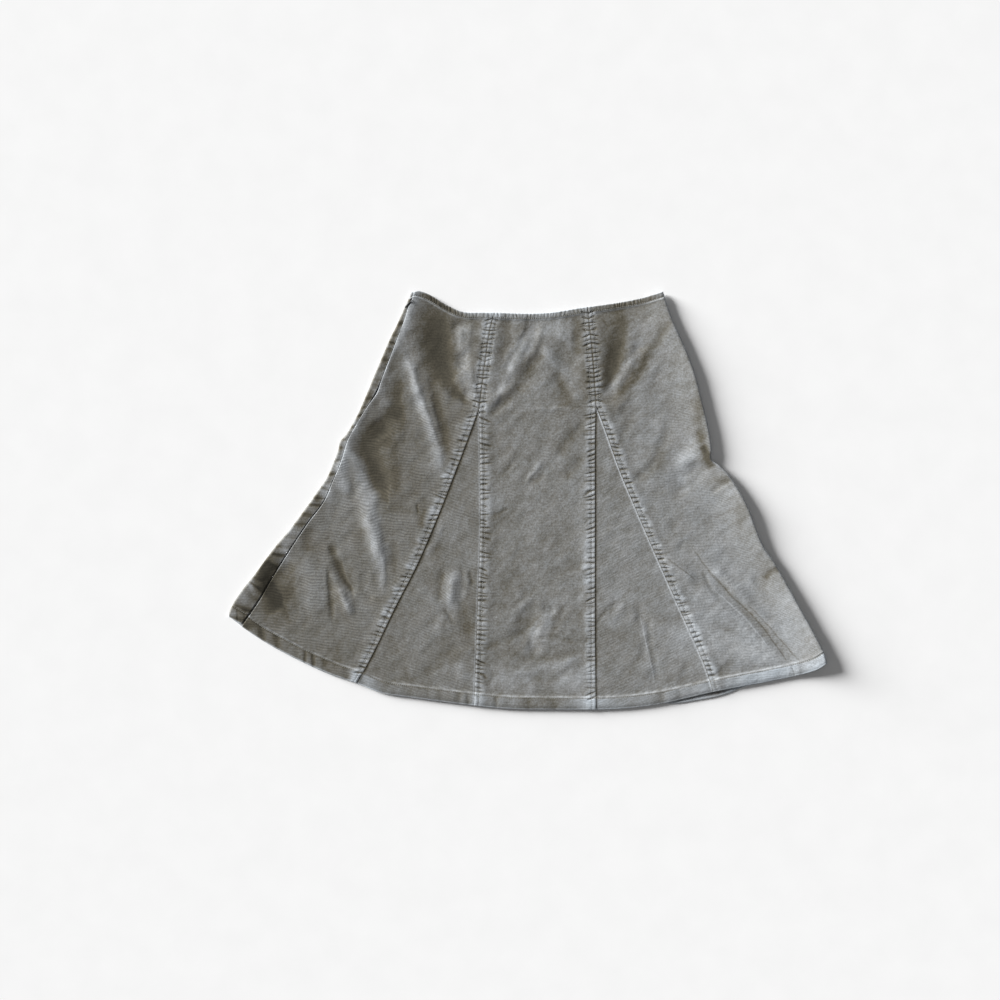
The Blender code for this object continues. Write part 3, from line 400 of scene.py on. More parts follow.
# The pale lines at the waist and the hem are worn; the dark stripe at each stitching is painted shade in its
# groove, and the hem's pale lower edge is partly painted light, where the rounded edge turns from the light.
WAIST_WEAR_AND_SHADE = ((0.7, 9.4, 1.0), (1.0, 0, 1.3), (-0.3, WAIST_DEPTH, 0.8))
HEM_WEAR_LIGHT_AND_SHADE = ((1.5, 0, 1.2), (-0.35, 16, 0.8))
HEM_LINE_WEAR, HEM_LINE_AT, HEM_LINE_WIDTH = 0.75, 18.3, 0.8
# Painted shade along the seams' gaps, and the strip's edge and the back's hem edge underneath painted paler, as
# light where they lie in shade.
SEAM_SHADE, STRIP_EDGE_LIGHT, UNDER_HEM_LIGHT = (0.2, 0, 0.5), (0.5, 0, 1.6), (1.8, 0, 2.4)
# A painted highlight along the centre's left edge, and painted shade along its right edge.
CENTRE_LEFT_HIGHLIGHT, CENTRE_RIGHT_SHADE = (0.4, 1.0, 1.2), (0.5, 0, 0.6)
GODET_LINE_AT, GODET_LINE_WIDTH = 0.9, 1.5
BAND_PAST, WAIST_BAND_FADE, HEM_BAND_FADE = 0.4, 1.2, 1.4

# How far in from each edge the cloth is rounded down.
WAIST_ROUND, HEM_ROUND, HEM_DROOP, SEAM_ROUND, SIDE_ROUND, STRIP_ROUND = 0.85, 0.5, 3.5, 0.3, 0.4, 0.12

# The left front's edge along the side seam: its padding, its pale line (partly worn, partly painted highlight where
# the edge faces the light), and the paler cloth beside it.
SIDE_PADDING, SIDE_PADDING_ABOVE, SIDE_PADDING_WIDTH = 0.15, 0.45, 12
SIDE_LINE_WEAR_AND_LIGHT, SIDE_LINE_UNEVEN, SIDE_LINE_WIDTH = 0.2, 0.5, 1.0
LEFT_SEAM_SHADE_ABOVE, LEFT_SEAM_SHADE_BELOW, LEFT_SEAM_SHADE_WIDTH = 0.2, 0.6, 0.6
# The dip is also painted darker, as its shade.
NOTCH_UP, NOTCH_ACROSS, NOTCH_DEPTH = 14, 2.2, 0.8       # the dip of the left seam over the hem
# How much paler the turned side of the right fold is painted: a worn edge, and painted light on its side that lies
# in shade.
FOLD_WEAR_AND_LIGHT = 1.5

# The bands of the nap: how steeply they bend over slopes, and how they fade out towards the waist.
RIBS_UP_SLOPES = 3.2
RIBS_AT_WAIST, RIBS_TOP, RIBS_RUN = 0.4, 190, 80


def ease(value):
    """0 to 1 with a soft start and end."""
    value = np.clip(value, 0, 1)
    return value * value * (3 - 2 * value)


def bell(distance, half_width):
    """1 at no distance, and softly down to 0 on both sides."""
    return np.exp(-(distance / half_width) ** 2)


def stripes(distance, *rows):
    """Soft stripes along an edge, at distances in from it."""
    return sum(strength * bell(distance - place, half_width) for strength, place, half_width in rows)


def kept_above(value, softness):
    """The value where it is well above 0, and softly close to 0 where it is below."""
    return (value + np.hypot(value, softness)) / 2


def smooth(points, steps=12):
    """A smooth run through the points: Bezier spans whose handles are a third of each span."""
    knots = np.array(points, float)
    ends = np.vstack([knots[:1], knots, knots[-1:]])
    headings = ends[2:] - ends[:-2]
    headings /= np.linalg.norm(headings, axis=1)[:, None]
    handles = np.linalg.norm(np.diff(knots, axis=0), axis=1)[:, None] / 3
    leaving, arriving = knots[:-1] + headings[:-1] * handles, knots[1:] - headings[1:] * handles
    t = (np.arange(steps) / steps)[:, None, None]
    run = (1 - t) ** 3 * knots[:-1] + 3 * (1 - t) ** 2 * t * leaving
    run = run + 3 * (1 - t) * t ** 2 * arriving + t ** 3 * knots[1:]
    return np.vstack([run.transpose(1, 0, 2).reshape(-1, knots.shape[1]), knots[-1:]])


def distances(run):
    """How far along a run each of its points is."""
    return np.concatenate([[0], np.cumsum(np.linalg.norm(np.diff(run, axis=0), axis=1))])


def places(distance, reach, run):
    """The places at distances along a run, whose points are at the distances in reach."""
    return np.stack([np.interp(distance, reach, column) for column in run.T], axis=-1)


class Line:
    """A line on the plan. level is how far along it the row of the godets' points is."""

    def __init__(self, run, level=None):
        self.run = run
        self.reach = distances(run)
        self.length = self.reach[-1]
        self.level = level or self.length * GODET_LEVEL

    def at(self, distance):
        return places(distance, self.reach, self.run)

    def square(self, distance, side):
        """The level direction square to the line. side is 1 to the skirt's right and -1 to its left."""
        ahead = self.at(np.minimum(distance + HEADING_REACH, self.length))
        heading = ahead - self.at(np.maximum(distance - HEADING_REACH, 0))
        across = np.stack([-heading[..., 1], heading[..., 0]], axis=-1) * side
        return across / np.linalg.norm(across, axis=-1, keepdims=True)

    def across_at(self, up):
        """Where a line that runs down the skirt is across it."""
        return np.interp(-up, -self.run[:, 1], self.run[:, 0])

    def up_at(self, across):
        """Where a line that runs across the skirt is up it."""
        return np.interp(across, self.run[:, 0], self.run[:, 1])

    def along_at(self, across):
        """How far along a line that runs across the skirt a place is."""
        return np.interp(across, self.run[:, 0], self.reach)

    def inset(self, distance, side):
        return Line(self.run + self.square(self.reach, side) * distance)

    def rows(self, counts):
        """Distances along the line of the rows of points."""
        top, bottom = WAIST_ROWS[-1], self.length - HEM_ROWS[0]
        upper = np.linspace(top, self.level, counts[0] + 1)[1:]
        lower = np.linspace(self.level, bottom, counts[1] + 1)[1:]
        return np.concatenate([WAIST_ROWS, upper, lower, self.length - np.array(HEM_ROWS[1:])])


def godet_line(seam, godet_edge):
    """A front seam down to the godet's point, and one edge of the godet from there."""
    upper = smooth(seam)
    return Line(np.vstack([upper, smooth(godet_edge)[1:]]), level=Line(upper).length)


left_fold, side_seam, right_fold = [Line(smooth(points)) for points in (LEFT_FOLD, SIDE_SEAM, RIGHT_FOLD)]
left_outer, left_inner = [godet_line(LEFT_SEAM, edge) for edge in (LEFT_GODET_OUTER, LEFT_GODET_INNER)]
right_inner, right_outer = [godet_line(RIGHT_SEAM, edge) for edge in (RIGHT_GODET_INNER, RIGHT_GODET_OUTER)]
waist_edge, front_hem, back_hem = [Line(smooth(points)) for points in (WAIST, HEM, BACK_HEM)]
left_radius, right_radius = LEFT_FOLD_HEIGHT / 2, RIGHT_FOLD_HEIGHT / 2
left_turn, right_turn = left_fold.inset(left_radius, 1), right_fold.inset(right_radius, -1)


def straight_fold(x, y, fold):
    """Height of one fold of a table at points of the plan."""
    x0, y0, x1, y1, half_width, height = fold
    length = math.hypot(x1 - x0, y1 - y0)
    along = ((x - x0) * (x1 - x0) + (y - y0) * (y1 - y0)) / length ** 2
    off = ((x - x0) * (y1 - y0) - (y - y0) * (x1 - x0)) / length
    return height * ease(np.minimum(along, 1 - along) / FOLD_TAPER) * bell(off, half_width)


def relief(x, y, folds=FOLDS):
    return sum(straight_fold(x, y, fold) for fold in folds)


def from_right_fold(x, y):
    """How far in from the right fold points of the plan are."""
    return (right_fold.across_at(y) - x) * SIDE_COSINE


def lift(distance, y):
    """How far the cloth is lifted off the surface, at a distance in from the right fold."""
    full = LIFT_AT_WAIST + (1 - LIFT_AT_WAIST) * ease((LIFT_TOP - y) / LIFT_RUN)
    height = RIGHT_FOLD_LIFT * full + MIDDLE_LIFT * bell(y, MIDDLE_REACH)
    height = height + CORNER_LIFT * ease((CORNER_TOP - y) / CORNER_RUN)
    return height * np.maximum(0, 1 - distance / LIFT_REACH) ** 2


def fold_share(distance):
    """How much of a side fold's height there is, at a distance in from its round."""
    return bell(np.maximum(distance, 0), SWELL_REACH)


def doubled(from_waist, from_hem):
    """1 where the waist is faced or the hem turned up, and 0 where the cloth is single."""
    return ease(1 + np.maximum(WAIST_DEPTH - from_waist, HEM_DEPTH - from_hem) / EDGE_EASE)


def skin(x, y, from_waist, from_hem):
    """Height of the outer face of the front cloth."""
    at_hem = HEM_RISE + LOFT_AT_HEM + (1 - HEM_RISE - LOFT_AT_HEM) * ease(from_hem / LOFT_FROM_HEM)
    puff = (LOFT + relief(x, y)) * np.minimum(ease(from_waist / LOFT_FROM_WAIST), at_hem)
    edge = 2 * (EDGE_WALL - WALL) * doubled(from_waist, from_hem)
    height = 2 * WALL + LAYER_GAP + edge + kept_above(puff, LAYER_GAP)
    left, right = (x - left_fold.across_at(y)) * SIDE_COSINE, from_right_fold(x, y)
    height = height + (LEFT_FOLD_HEIGHT - height) * fold_share(left - left_radius)
    height = height + (RIGHT_FOLD_HEIGHT - height) * fold_share(right - right_radius)
    return height + lift(right, y)


def allowance(distance):
    """Lift of the cloth at a distance from a seam whose allowances lie under it."""
    return ALLOWANCE_STEP * ease(1 + (ALLOWANCE_WIDTH - distance) / ALLOWANCE_EASE)


def slit(distance):
    """How far the back's edge and the front's edge stand back from the side seam line."""
    at_slider = ease(np.minimum(distance - OPEN_FROM, OPEN_TO - distance) / OPEN_EASE)
    gape = ease(np.minimum(distance - GAPE_FROM, GAPE_TO - distance) / GAPE_EASE)
    zipped = SLIT_ZIPPED * ease((TAPE_TO - distance) / GAPE_EASE)
    return SEAM_GAP / 2 + zipped + SLIT_GAPE * gape, SEAM_GAP / 2 + zipped + SLIT_AT_SLIDER * at_slider


class Flat:
    """A flat stretch of cloth between two lines, whose end rows follow the waist and the hem."""

    def __init__(self, left, right, bottom, counts=FRONT_ROWS, top=waist_edge):
        self.left, self.right, self.top, self.bottom = left, right, top, bottom
        self.left_rows, self.right_rows = left.rows(counts), right.rows(counts)
        if not top:
            first = len(WAIST_ROWS) + counts[0] - 1
            self.left_rows, self.right_rows = self.left_rows[first:], self.right_rows[first:]
            self.left_rows[0] += GODET_START
            self.right_rows[0] += GODET_START
        self.starts, self.ends = left.at(self.left_rows), right.at(self.right_rows)
        self.width = np.linalg.norm(self.ends - self.starts, axis=1)

    def at(self, share):
        """Plan points, and their distances from the waist and the hem. share is how far over its row each point
        is, from 0 to 1."""
        start, end = self.starts[:, None], self.ends[:, None]
        point = start + (end - start) * share[..., None]
        down = self.left_rows[:, None] + (self.right_rows - self.left_rows)[:, None] * share
        whole = self.left.length + (self.right.length - self.left.length) * share
        done = down / whole
        for edge, row, weight in ((self.top, 0, (1 - done) ** 2), (self.bottom, -1, done ** 2)):
            if edge:
                first, last = self.left.at(self.left_rows[row]), self.right.at(self.right_rows[row])
                chord = first + (last - first) * share[..., None]
                point[..., 1] += (edge.up_at(chord[..., 0]) - chord[..., 1]) * weight
        return point[..., 0], point[..., 1], down, whole - down

    def lay(self, over):
        """The same for points at distances over each row, and how far in from the right each is."""
        return (*self.at(over / self.width[:, None]), self.width[:, None] - over)


left_flat = Flat(side_seam, left_outer, front_hem)
left_godet_flat = Flat(left_outer, left_inner, front_hem, top=None)
centre_flat = Flat(left_inner, right_inner, front_hem)
right_godet_flat = Flat(right_inner, right_outer, front_hem, top=None)
right_flat = Flat(right_outer, right_turn, front_hem)
back_flat = Flat(left_turn, right_turn, back_hem, BACK_ROWS)


def columns(width, left_edge, right_edge, middle):
    """Distances over each row: near each edge as given, or closer on a narrow row, and the rest even."""
    left_edge, right_edge = np.array(left_edge, float), np.array(right_edge, float)
    room = np.minimum(1, MOST_AT_EDGES * width / (left_edge[-1] + right_edge[-1] + 1e-6))[:, None]
    from_left, from_right = left_edge * room, width[:, None] - right_edge[::-1] * room
    share = np.arange(1, middle) / middle
    evens = from_left[:, -1:] + (from_right[:, :1] - from_left[:, -1:]) * share
    return np.hstack([from_left, evens, from_right])


def value_noise(x, y, size, seed):
    """Smooth seeded noise from -1 to 1, with lumps of one size."""
    lattice = np.random.default_rng(seed).uniform(-1, 1, (NOISE_CELLS, NOISE_CELLS))
    u, v = x / size + NOISE_ACROSS, y / size + NOISE_UP
    i, j = np.floor(u).astype(int), np.floor(v).astype(int)
    s, t = ease(u - i), ease(v - j)
    i, j, next_i, next_j = [value % NOISE_CELLS for value in (i, j, i + 1, j + 1)]
    low = lattice[i, j] * (1 - s) + lattice[next_i, j] * s
    high = lattice[i, next_j] * (1 - s) + lattice[next_i, next_j] * s
    return low * (1 - t) + high * t


def under_rise(x, y, down, up):
    """How far the back's folds lift it off the surface that it lies on."""
    return relief(x, y, UNDER_FOLDS) * ease(np.minimum(down, up) / UNDER_FADE)


def wandering(x, y, seed):
    return sum(far * value_noise(x, y, size, seed + i) for i, (far, size) in enumerate(WANDERINGS))


def stray(x, y):
    """The plan with small wanderings, so that what is placed by it has uneven sides."""
    return x + wandering(x, y, 54), y + wandering(x, y, 56)


def follow(x, y, path):
    """For points of the plan: how far off the path each is, how far along it from 0 to 1, and the path's half
    width there, the first one for points to its left and the last one for points to its right."""
    run = smooth(path, 4)
    lengths = np.linalg.norm(np.diff(run[:, :2], axis=0), axis=1)
    before = np.concatenate([[0], np.cumsum(lengths)])
    best, side, done = np.full(x.shape, np.inf), np.zeros(x.shape), np.zeros(x.shape)
    for start, end, length, passed in zip(run, run[1:], lengths, before):
        ahead, aside = (end[:2] - start[:2]) / length
        dx, dy = x - start[0], y - start[1]
        along = np.clip(dx * ahead + dy * aside, 0, length)
        off = np.hypot(dx - along * ahead, dy - along * aside)
        nearer = off < best
        best = np.where(nearer, off, best)
        side = np.where(nearer, ahead * dy - aside * dx, side)
        done = np.where(nearer, passed + along, done)
    values = [np.interp(done, before, run[:, i]) for i in range(2, run.shape[1])]
    return best, done / before[-1], np.where(side > 0, values[0], values[-1]) if values else None


def line_distance(x, y, paths, fade):
    """How far the nearest of some lines is, in millimetres. Each fades out over a share of its length."""
    nearest = np.full(x.shape, LINE_FAR)
    for path in paths:
        off, done, _ = follow(x, y, path)
        ended = LINE_ENDED * (1 - ease(np.minimum(done, 1 - done) / fade))
        nearest = np.minimum(nearest, off + ended)
    return nearest


class Cloth:
    """One cut piece: a grid of points with rows from the waist to the hem. base is where the outer face lies
    before the creases, down and up are the distances from the waist and the hem, and on_top is 1 on the front.
    raised is how far out of the base the outer face is, under is how much thinner the inner face makes the
    wall, and the third of these is how much paler the cloth is painted, for worn dye and for painted light and
    shade. seam and edge hold gathers: their count, their depth, and how much paler the cloth is there. stitched
    lists the columns that have topstitching."""

    def __init__(self, base, down, up, on_top=1.0):
        self.base, self.down, self.up = base, down, up
        self.on_top = on_top * np.ones(down.shape)
        self.x, self.y = base[..., 0], base[..., 1]
        self.raised, self.under, self.wear_and_shading = [np.zeros(down.shape) for _ in range(3)]
        self.seam, self.edge = np.zeros((*down.shape, 3)), np.zeros((*down.shape, 3))
        self.stitched = []

    def outward(self):
        """Unit directions out of the base."""
        out = np.cross(np.gradient(self.base, axis=0), np.gradient(self.base, axis=1))
        return out / np.linalg.norm(out, axis=-1, keepdims=True)

    def faces_out(self):
        """The outer and the inner face. On top of the skirt they stay over the layer below."""
        out = self.outward()
        wall = WALL + (EDGE_WALL - WALL) * doubled(self.down, self.up)
        outer = self.base + out * self.raised[..., None]
        inner = self.base - out * np.maximum(wall - self.under, THINNEST_SHELL - self.raised)[..., None]
        on_top = self.on_top == 1
        layer = WALL + under_rise(self.x, self.y, self.down, self.up)
        layer = layer + lift(from_right_fold(self.x, self.y), self.y)
        settled = layer + THINNEST + kept_above(outer[..., 2] - layer - THINNEST, SETTLE)
        outer[..., 2] = np.where(on_top, settled, outer[..., 2])
        inner[..., 2] = np.where(on_top, np.maximum(inner[..., 2], layer + REST_GAP), inner[..., 2])
        return outer, inner

    def roll(self, distance, radius, both=False):
        """Rounds the outer face down towards an edge, and with both the inner face up."""
        inside = np.clip(distance / radius, 0, 1)
        drop = radius * (1 - np.sqrt(1 - (1 - inside) ** 2))
        self.raised -= drop
        if both:
            self.under += drop


class Gathers:
    """Small creases across a seam or an edge, at uneven places, each with its own depth, reach and slant."""

    def __init__(self, seed, start, end, spacing, depth, reach, slant):
        draw = np.random.default_rng(seed)
        spots = start + np.cumsum(draw.uniform(*spacing, int((end - start) / spacing[0]) + 2))
        self.spots = spots[spots < end]
        self.counts = np.arange(len(self.spots))
        self.depths, self.reaches, self.slants = [
            draw.uniform(*limits, len(self.spots)) for limits in (depth, reach, slant)]

    def at(self, along, off):
        """The count of creases, whole on each one, and their depth, at distances along the edge and off it."""
        along = along + np.interp(along, self.spots, self.slants) * off
        reach = np.interp(along, self.spots, self.reaches)
        inside = ease(np.minimum(along - self.spots[0], self.spots[-1] - along) / GATHER_ENDS + 1)
        shown = ease((reach - off) / (GATHER_FADE * reach))
        depth = np.interp(along, self.spots, self.depths) * shown * inside
        return np.interp(along, self.spots, self.counts), depth


def crest(count, sharpness):
    """1 where a count of creases is whole, and 0 between them."""
    return (0.5 + 0.5 * np.cos(2 * math.pi * count)) ** sharpness


def pucker_seam(cloth, distance, line, rows, seeds, kind_below=LOWER_GATHERS, pale_below=PALE_BELOW):
    """Pale gathered pads beside a seam, split by its topstitching, with dark creases between them: the pads worn
    pale, the creases darker as unworn dye and as painted shade, and the topstitching's groove in painted shade.
    seeds are those of the gathers above the godet's point and below it."""
    upper = Gathers(seeds[0], 4, line.level - 1, *UPPER_GATHERS)
    lower = Gathers(seeds[1], line.level - 4, line.length - HEM_DEPTH + 2, *kind_below)
    along = np.broadcast_to(rows[:, None], distance.shape)
    above = along < line.level
    both = zip(upper.at(along, distance), lower.at(along, distance))
    count, depth = [np.where(above, *pair) for pair in both]
    off = distance * 0.3
    uneven = value_noise(along, off, 7, seeds[1]) + 0.6 * value_noise(along, off, 23, seeds[1] + 1)
    reach = np.where(above, PAD_REACH_ABOVE, PAD_REACH_BELOW) + PAD_UNEVEN * uneven
    padded = ease((reach - distance) / PAD_FADE) * ease(distance / PAD_START)
    pale = padded * np.where(above, PALE_ABOVE, pale_below) * (1 + 0.5 * uneven)
    pad = pale + stripes(distance, STITCH_SHADE)
    depth = depth * (0.6 + 0.4 * bell(distance - STITCH_AT, 5.0)) * ease(distance / 1.5 + 0.3)
    near = distance < PUCKER_REACH
    cloth.seam[near] = np.stack([count, depth, pad], -1)[near]
    cloth.raised -= (PUCKER_SINK * crest(count, 2) * depth + stripes(distance, STITCH_GROOVE)) * near
    cloth.raised += PAD_RISE * padded


def edge_gathers(cloth, off, line, gathers, tones):
    """Along an edge: the count and the depth of its gathers, how pale it is, and how deep they show."""
    paler, deep = [np.interp(cloth.x, *np.array(tones)[:, [0, i]].T) for i in (1, 2)]
    return (*gathers.at(line.along_at(cloth.x), off), paler, deep)


def finish_waist(cloth):
    """The stitched edge: fine gathers above the stitching, and a worn ridge under it, with painted shade in the
    stitching's groove.
    """
    down, on_top = cloth.down, cloth.on_top
    gathers = Gathers(21, -4, waist_edge.length + 4, *WAIST_GATHERS)
    count, depth, paler, deep = edge_gathers(cloth, down, waist_edge, gathers, WAIST_TONES)
    band = ease((WAIST_DEPTH + BAND_PAST - down) / WAIST_BAND_FADE)
    shown = 0.7 * depth * deep * ease((WAIST_RIDGE[1] - down) / 2)
    near = down < WAIST_REACH
    cloth.edge[near] = np.stack([count, shown, band * paler], -1)[near]
    groove = (GROOVE - WAIST_GROOVE_EASED * on_top) * bell(down - WAIST_DEPTH, GROOVE_WIDTH)
    cloth.raised -= WAIST_SINK * crest(count, 1) * depth * band
    cloth.raised += stripes(down, WAIST_RIDGE) * on_top - groove
    cloth.wear_and_shading += stripes(down, *WAIST_WEAR_AND_SHADE) * on_top
    cloth.roll(down, WAIST_ROUND, both=True)


def finish_hem(cloth, line):
    """The turned-up hem: a worn ridge over the stitching, painted shade in the stitching's groove, faded ripples
    below it, and a pale lower edge, partly worn and partly painted light where it turns from the light.
    """
    up, on_top = cloth.up, cloth.on_top
    gathers = Gathers(31, -20, front_hem.length + 20, *HEM_GATHERS)
    count, depth, paler, deep = edge_gathers(cloth, up, line, gathers, HEM_TONES)
    band = ease((HEM_DEPTH + BAND_PAST - up) / HEM_BAND_FADE)
    near = up < HEM_REACH
    cloth.edge[near] = np.stack([count, depth * deep * band, band * paler], -1)[near]
    groove = (GROOVE - HEM_GROOVE_EASED * on_top) * bell(up - HEM_DEPTH, GROOVE_WIDTH)
    cloth.raised -= HEM_SINK * crest(count, 2) * depth * band
    cloth.raised += stripes(up, HEM_RIDGE) * on_top - groove
    along = line.along_at(cloth.x)
    line_wear = HEM_LINE_WEAR * (0.5 + 0.5 * value_noise(along, along, 14, 42))
    cloth.wear_and_shading += stripes(up, (line_wear, HEM_LINE_AT, HEM_LINE_WIDTH), *HEM_WEAR_LIGHT_AND_SHADE) * on_top
    cloth.raised -= bell(up, HEM_DROOP) * on_top
    cloth.roll(up, HEM_ROUND, both=True)


def wrinkle(cloth):
    """The placed creases and stains, and low uneven relief between them. The cloth is painted paler and darker
    with them: worn and stained dye, and painted light and shade over the relief.
    """
    x, y = stray(cloth.x, cloth.y)
    for height, paler, *path in CREASES:
        off, done, half_width = follow(x, y, path)
        ends = ease(np.minimum(done, 1 - done) / CREASE_TAPER + CREASE_START)
        share = np.exp(-(off / half_width) ** CREASE_SHARPNESS) * ends * cloth.on_top
        cloth.raised += CREASE_HEIGHT * height * share
        cloth.wear_and_shading += CREASE_WEAR_AND_SHADING * paler * share
    # Broad patches: faded and stained dye, and painted light and shade over ridges and hollows.
    for across, up, half_across, half_up, paler in FADES:
        cloth.wear_and_shading += paler * bell(x - across, half_across) * bell(y - up, half_up) * cloth.on_top
    calm = ease(np.minimum(cloth.down, cloth.up) / CALM_EDGE) * cloth.on_top
    low = LOW_RELIEF[0] * value_noise(x, y, LOW_RELIEF[1], 51)
    low = low + LOW_CREASING[0] * value_noise((x - y) * 0.7, (x + y) * 0.3, LOW_CREASING[1], 52)
    cloth.raised += low * calm
    # Painted paler on the rises of the relief and darker in its sinks, as worn dye and as painted light and shade,
    # and paler towards the right.
    to_right = PALER_TO_RIGHT * ease((x + 260) / 560)
    cloth.wear_and_shading += (LOW_WEAR_AND_SHADING * low + RELIEF_WEAR_AND_SHADING * relief(x, y) + to_right - EVEN_SHADE) * cloth.on_top


def finish_edges(cloth, hem=front_hem, waist=True):
    wrinkle(cloth)
    finish_hem(cloth, hem)
    if waist:
        finish_waist(cloth)


def lay_points(x, y, z):
    return np.stack([x, y, z], axis=-1)


def turn(x, y, outward, radius, angles, raised):
    """The round of a fold about the line at x and y, by its faces' angles. raised is how far it is lifted."""
    cosines, sines = np.cos(angles), np.sin(angles)
    height = radius * (1 + sines) + raised
    return lay_points(x + outward[:, :1] * cosines * radius, y + outward[:, 1:] * cosines * radius, height)


def finish_side_edge(cloth, left):
    """The left front's edge along the side seam: padded, with a pale line along it, partly worn and partly a
    painted highlight where the edge faces the light, and paler beside it.
    """
    along = np.broadcast_to(left_flat.left_rows[:, None], left.shape)
    padding = SIDE_PADDING + SIDE_PADDING_ABOVE * ease((cloth.y + 60) / 140)
    cloth.raised += padding * ease(1 - left / SIDE_PADDING_WIDTH)
    line_wear = SIDE_LINE_WEAR_AND_LIGHT + SIDE_LINE_UNEVEN * value_noise(along, along, 22, 43)
    cloth.wear_and_shading += line_wear * bell(left, SIDE_LINE_WIDTH)
    reach = 4 + 7 * ease((cloth.y - 190) / 90) + 7 * bell(cloth.y - 75, 35)
    beside = 0.5 + 0.5 * ease((cloth.y - 150) / 80)
    cloth.wear_and_shading += beside * bell(left, reach) * ease((cloth.y - 5) / 60)


def left_front():
    front_edge = (slit(left_flat.left_rows)[1] * SLIT_SHOWN)[:, None]
    over = columns(left_flat.width, SIDE_COLUMNS, SEAM_COLUMNS, LEFT_MIDDLE)
    over = over + front_edge * ease((SLIT_SPREAD - over) / 20)
    x, y, down, up, right = left_flat.lay(over)
    left = over - front_edge
    cloth = Cloth(lay_points(x, y, skin(x, y, down, up) + allowance(right)), down, up)
    pucker_seam(cloth, right, left_outer, left_flat.right_rows, (11, 61))
    finish_edges(cloth)
    finish_side_edge(cloth, left)
    # Painted shade along the seam to the godet, and in the dip of the seam over the hem.
    shade = np.where(down > left_outer.level, LEFT_SEAM_SHADE_BELOW, LEFT_SEAM_SHADE_ABOVE)
    notch = bell(cloth.up, NOTCH_UP) * bell(right, NOTCH_ACROSS)
    cloth.wear_and_shading -= shade * bell(right, LEFT_SEAM_SHADE_WIDTH) + notch
    cloth.raised -= NOTCH_DEPTH * notch
    cloth.roll(left, SIDE_ROUND)
    cloth.roll(right, SEAM_ROUND)
    cloth.stitched = [-1 - STITCH_COLUMN]
    return cloth


def centre_front():
    over = columns(centre_flat.width, SEAM_COLUMNS, SEAM_COLUMNS, CENTRE_MIDDLE)
    x, y, down, up, right = centre_flat.lay(over)
    nearest = np.minimum(over, right)
    cloth = Cloth(lay_points(x, y, skin(x, y, down, up) + allowance(nearest)), down, up)
    pucker_seam(cloth, over, left_inner, centre_flat.left_rows, (11, 62), pale_below=PALE_LEFT_INNER)
    pucker_seam(cloth, right, right_inner, centre_flat.right_rows, (12, 63))
    finish_edges(cloth)
    below_point = down > right_inner.level
    # Painted shade along the seams and along the right one below the godet's point, and a painted highlight along
    # the left edge below the left godet's point.
    cloth.wear_and_shading -= stripes(right, CENTRE_RIGHT_SHADE) * below_point + stripes(nearest, SEAM_SHADE)
    cloth.wear_and_shading += stripes(over, CENTRE_LEFT_HIGHLIGHT) * (down > left_inner.level)
    cloth.roll(over, SEAM_ROUND)
    cloth.roll(right, SEAM_ROUND)
    cloth.stitched = [STITCH_COLUMN, -1 - STITCH_COLUMN]
    return cloth


def godet(flat, left_edge_shading, right_edge_shading):
    """Its last two values are how pale the lines along its left and right seams are painted: painted light where
    an edge faces the light, and painted shade, below 0, where one faces away.
    """
    over = columns(flat.width, SEAM_COLUMNS, SEAM_COLUMNS, GODET_MIDDLE)
    x, y, down, up, right = flat.lay(over)
    cloth = Cloth(lay_points(x, y, skin(x, y, down, up)), down, up)
    finish_edges(cloth, waist=False)
    left_shading = stripes(over, (left_edge_shading, GODET_LINE_AT, GODET_LINE_WIDTH))
    cloth.wear_and_shading += left_shading + stripes(right, (right_edge_shading, GODET_LINE_AT, GODET_LINE_WIDTH))
    cloth.roll(np.minimum(over, right), SEAM_ROUND)
    return cloth


def right_front():
    """Over the front, round the right fold and back underneath to the hidden right side seam."""
    over = columns(right_flat.width, SEAM_COLUMNS, TURN_COLUMNS, RIGHT_MIDDLE)[:, :-1]
    x, y, down, up, _ = right_flat.lay(over)
    top = lay_points(x, y, skin(x, y, down, up) + allowance(over))
    corner_x, corner_y, corner_down, corner_up = right_flat.at(np.ones((len(over), 1)))
    outward = right_fold.square(right_fold.rows(FRONT_ROWS), 1)
    angles = np.radians(np.linspace(90, -90, FOLD_FACES + 1))
    turned = turn(corner_x, corner_y, outward, right_radius, angles, lift(right_radius, corner_y))
    under_flat = Flat(left_turn, right_turn, back_hem)
    under = np.linspace(0, TURN_UNDER - SEAM_GAP / 2, TURNED_UNDER_COLUMNS + 1)[1:]
    under_x, under_y, _, _ = under_flat.at(1 - under / under_flat.width[:, None])
    below = lay_points(under_x, under_y, lift(right_radius + under, under_y))
    hidden = turned.shape[1] + below.shape[1]
    ends = (corner_down, corner_up, right_flat.width[:, None])
    down, up, left = [
        np.hstack([values, np.repeat(end, hidden, axis=1)]) for values, end in zip((down, up, over), ends)]
    round_share = np.clip(np.sin(angles), 0, 1)
    on_top = np.concatenate([np.ones(over.shape[1]), round_share, np.zeros(below.shape[1])])
    cloth = Cloth(np.concatenate([top, turned, below], axis=1), down, up, on_top)
    pucker_seam(cloth, left, right_outer, right_flat.left_rows, (12, 64), SHORT_GATHERS)
    finish_edges(cloth)
    # The turned side of the fold painted paler, as a worn edge and as painted light in its shade, and painted shade
    # along the seam.
    cloth.wear_and_shading += FOLD_WEAR_AND_LIGHT * np.sqrt(1 - on_top) - stripes(left, SEAM_SHADE)
    cloth.roll(left, SEAM_ROUND)
    cloth.stitched = [STITCH_COLUMN]
    return cloth


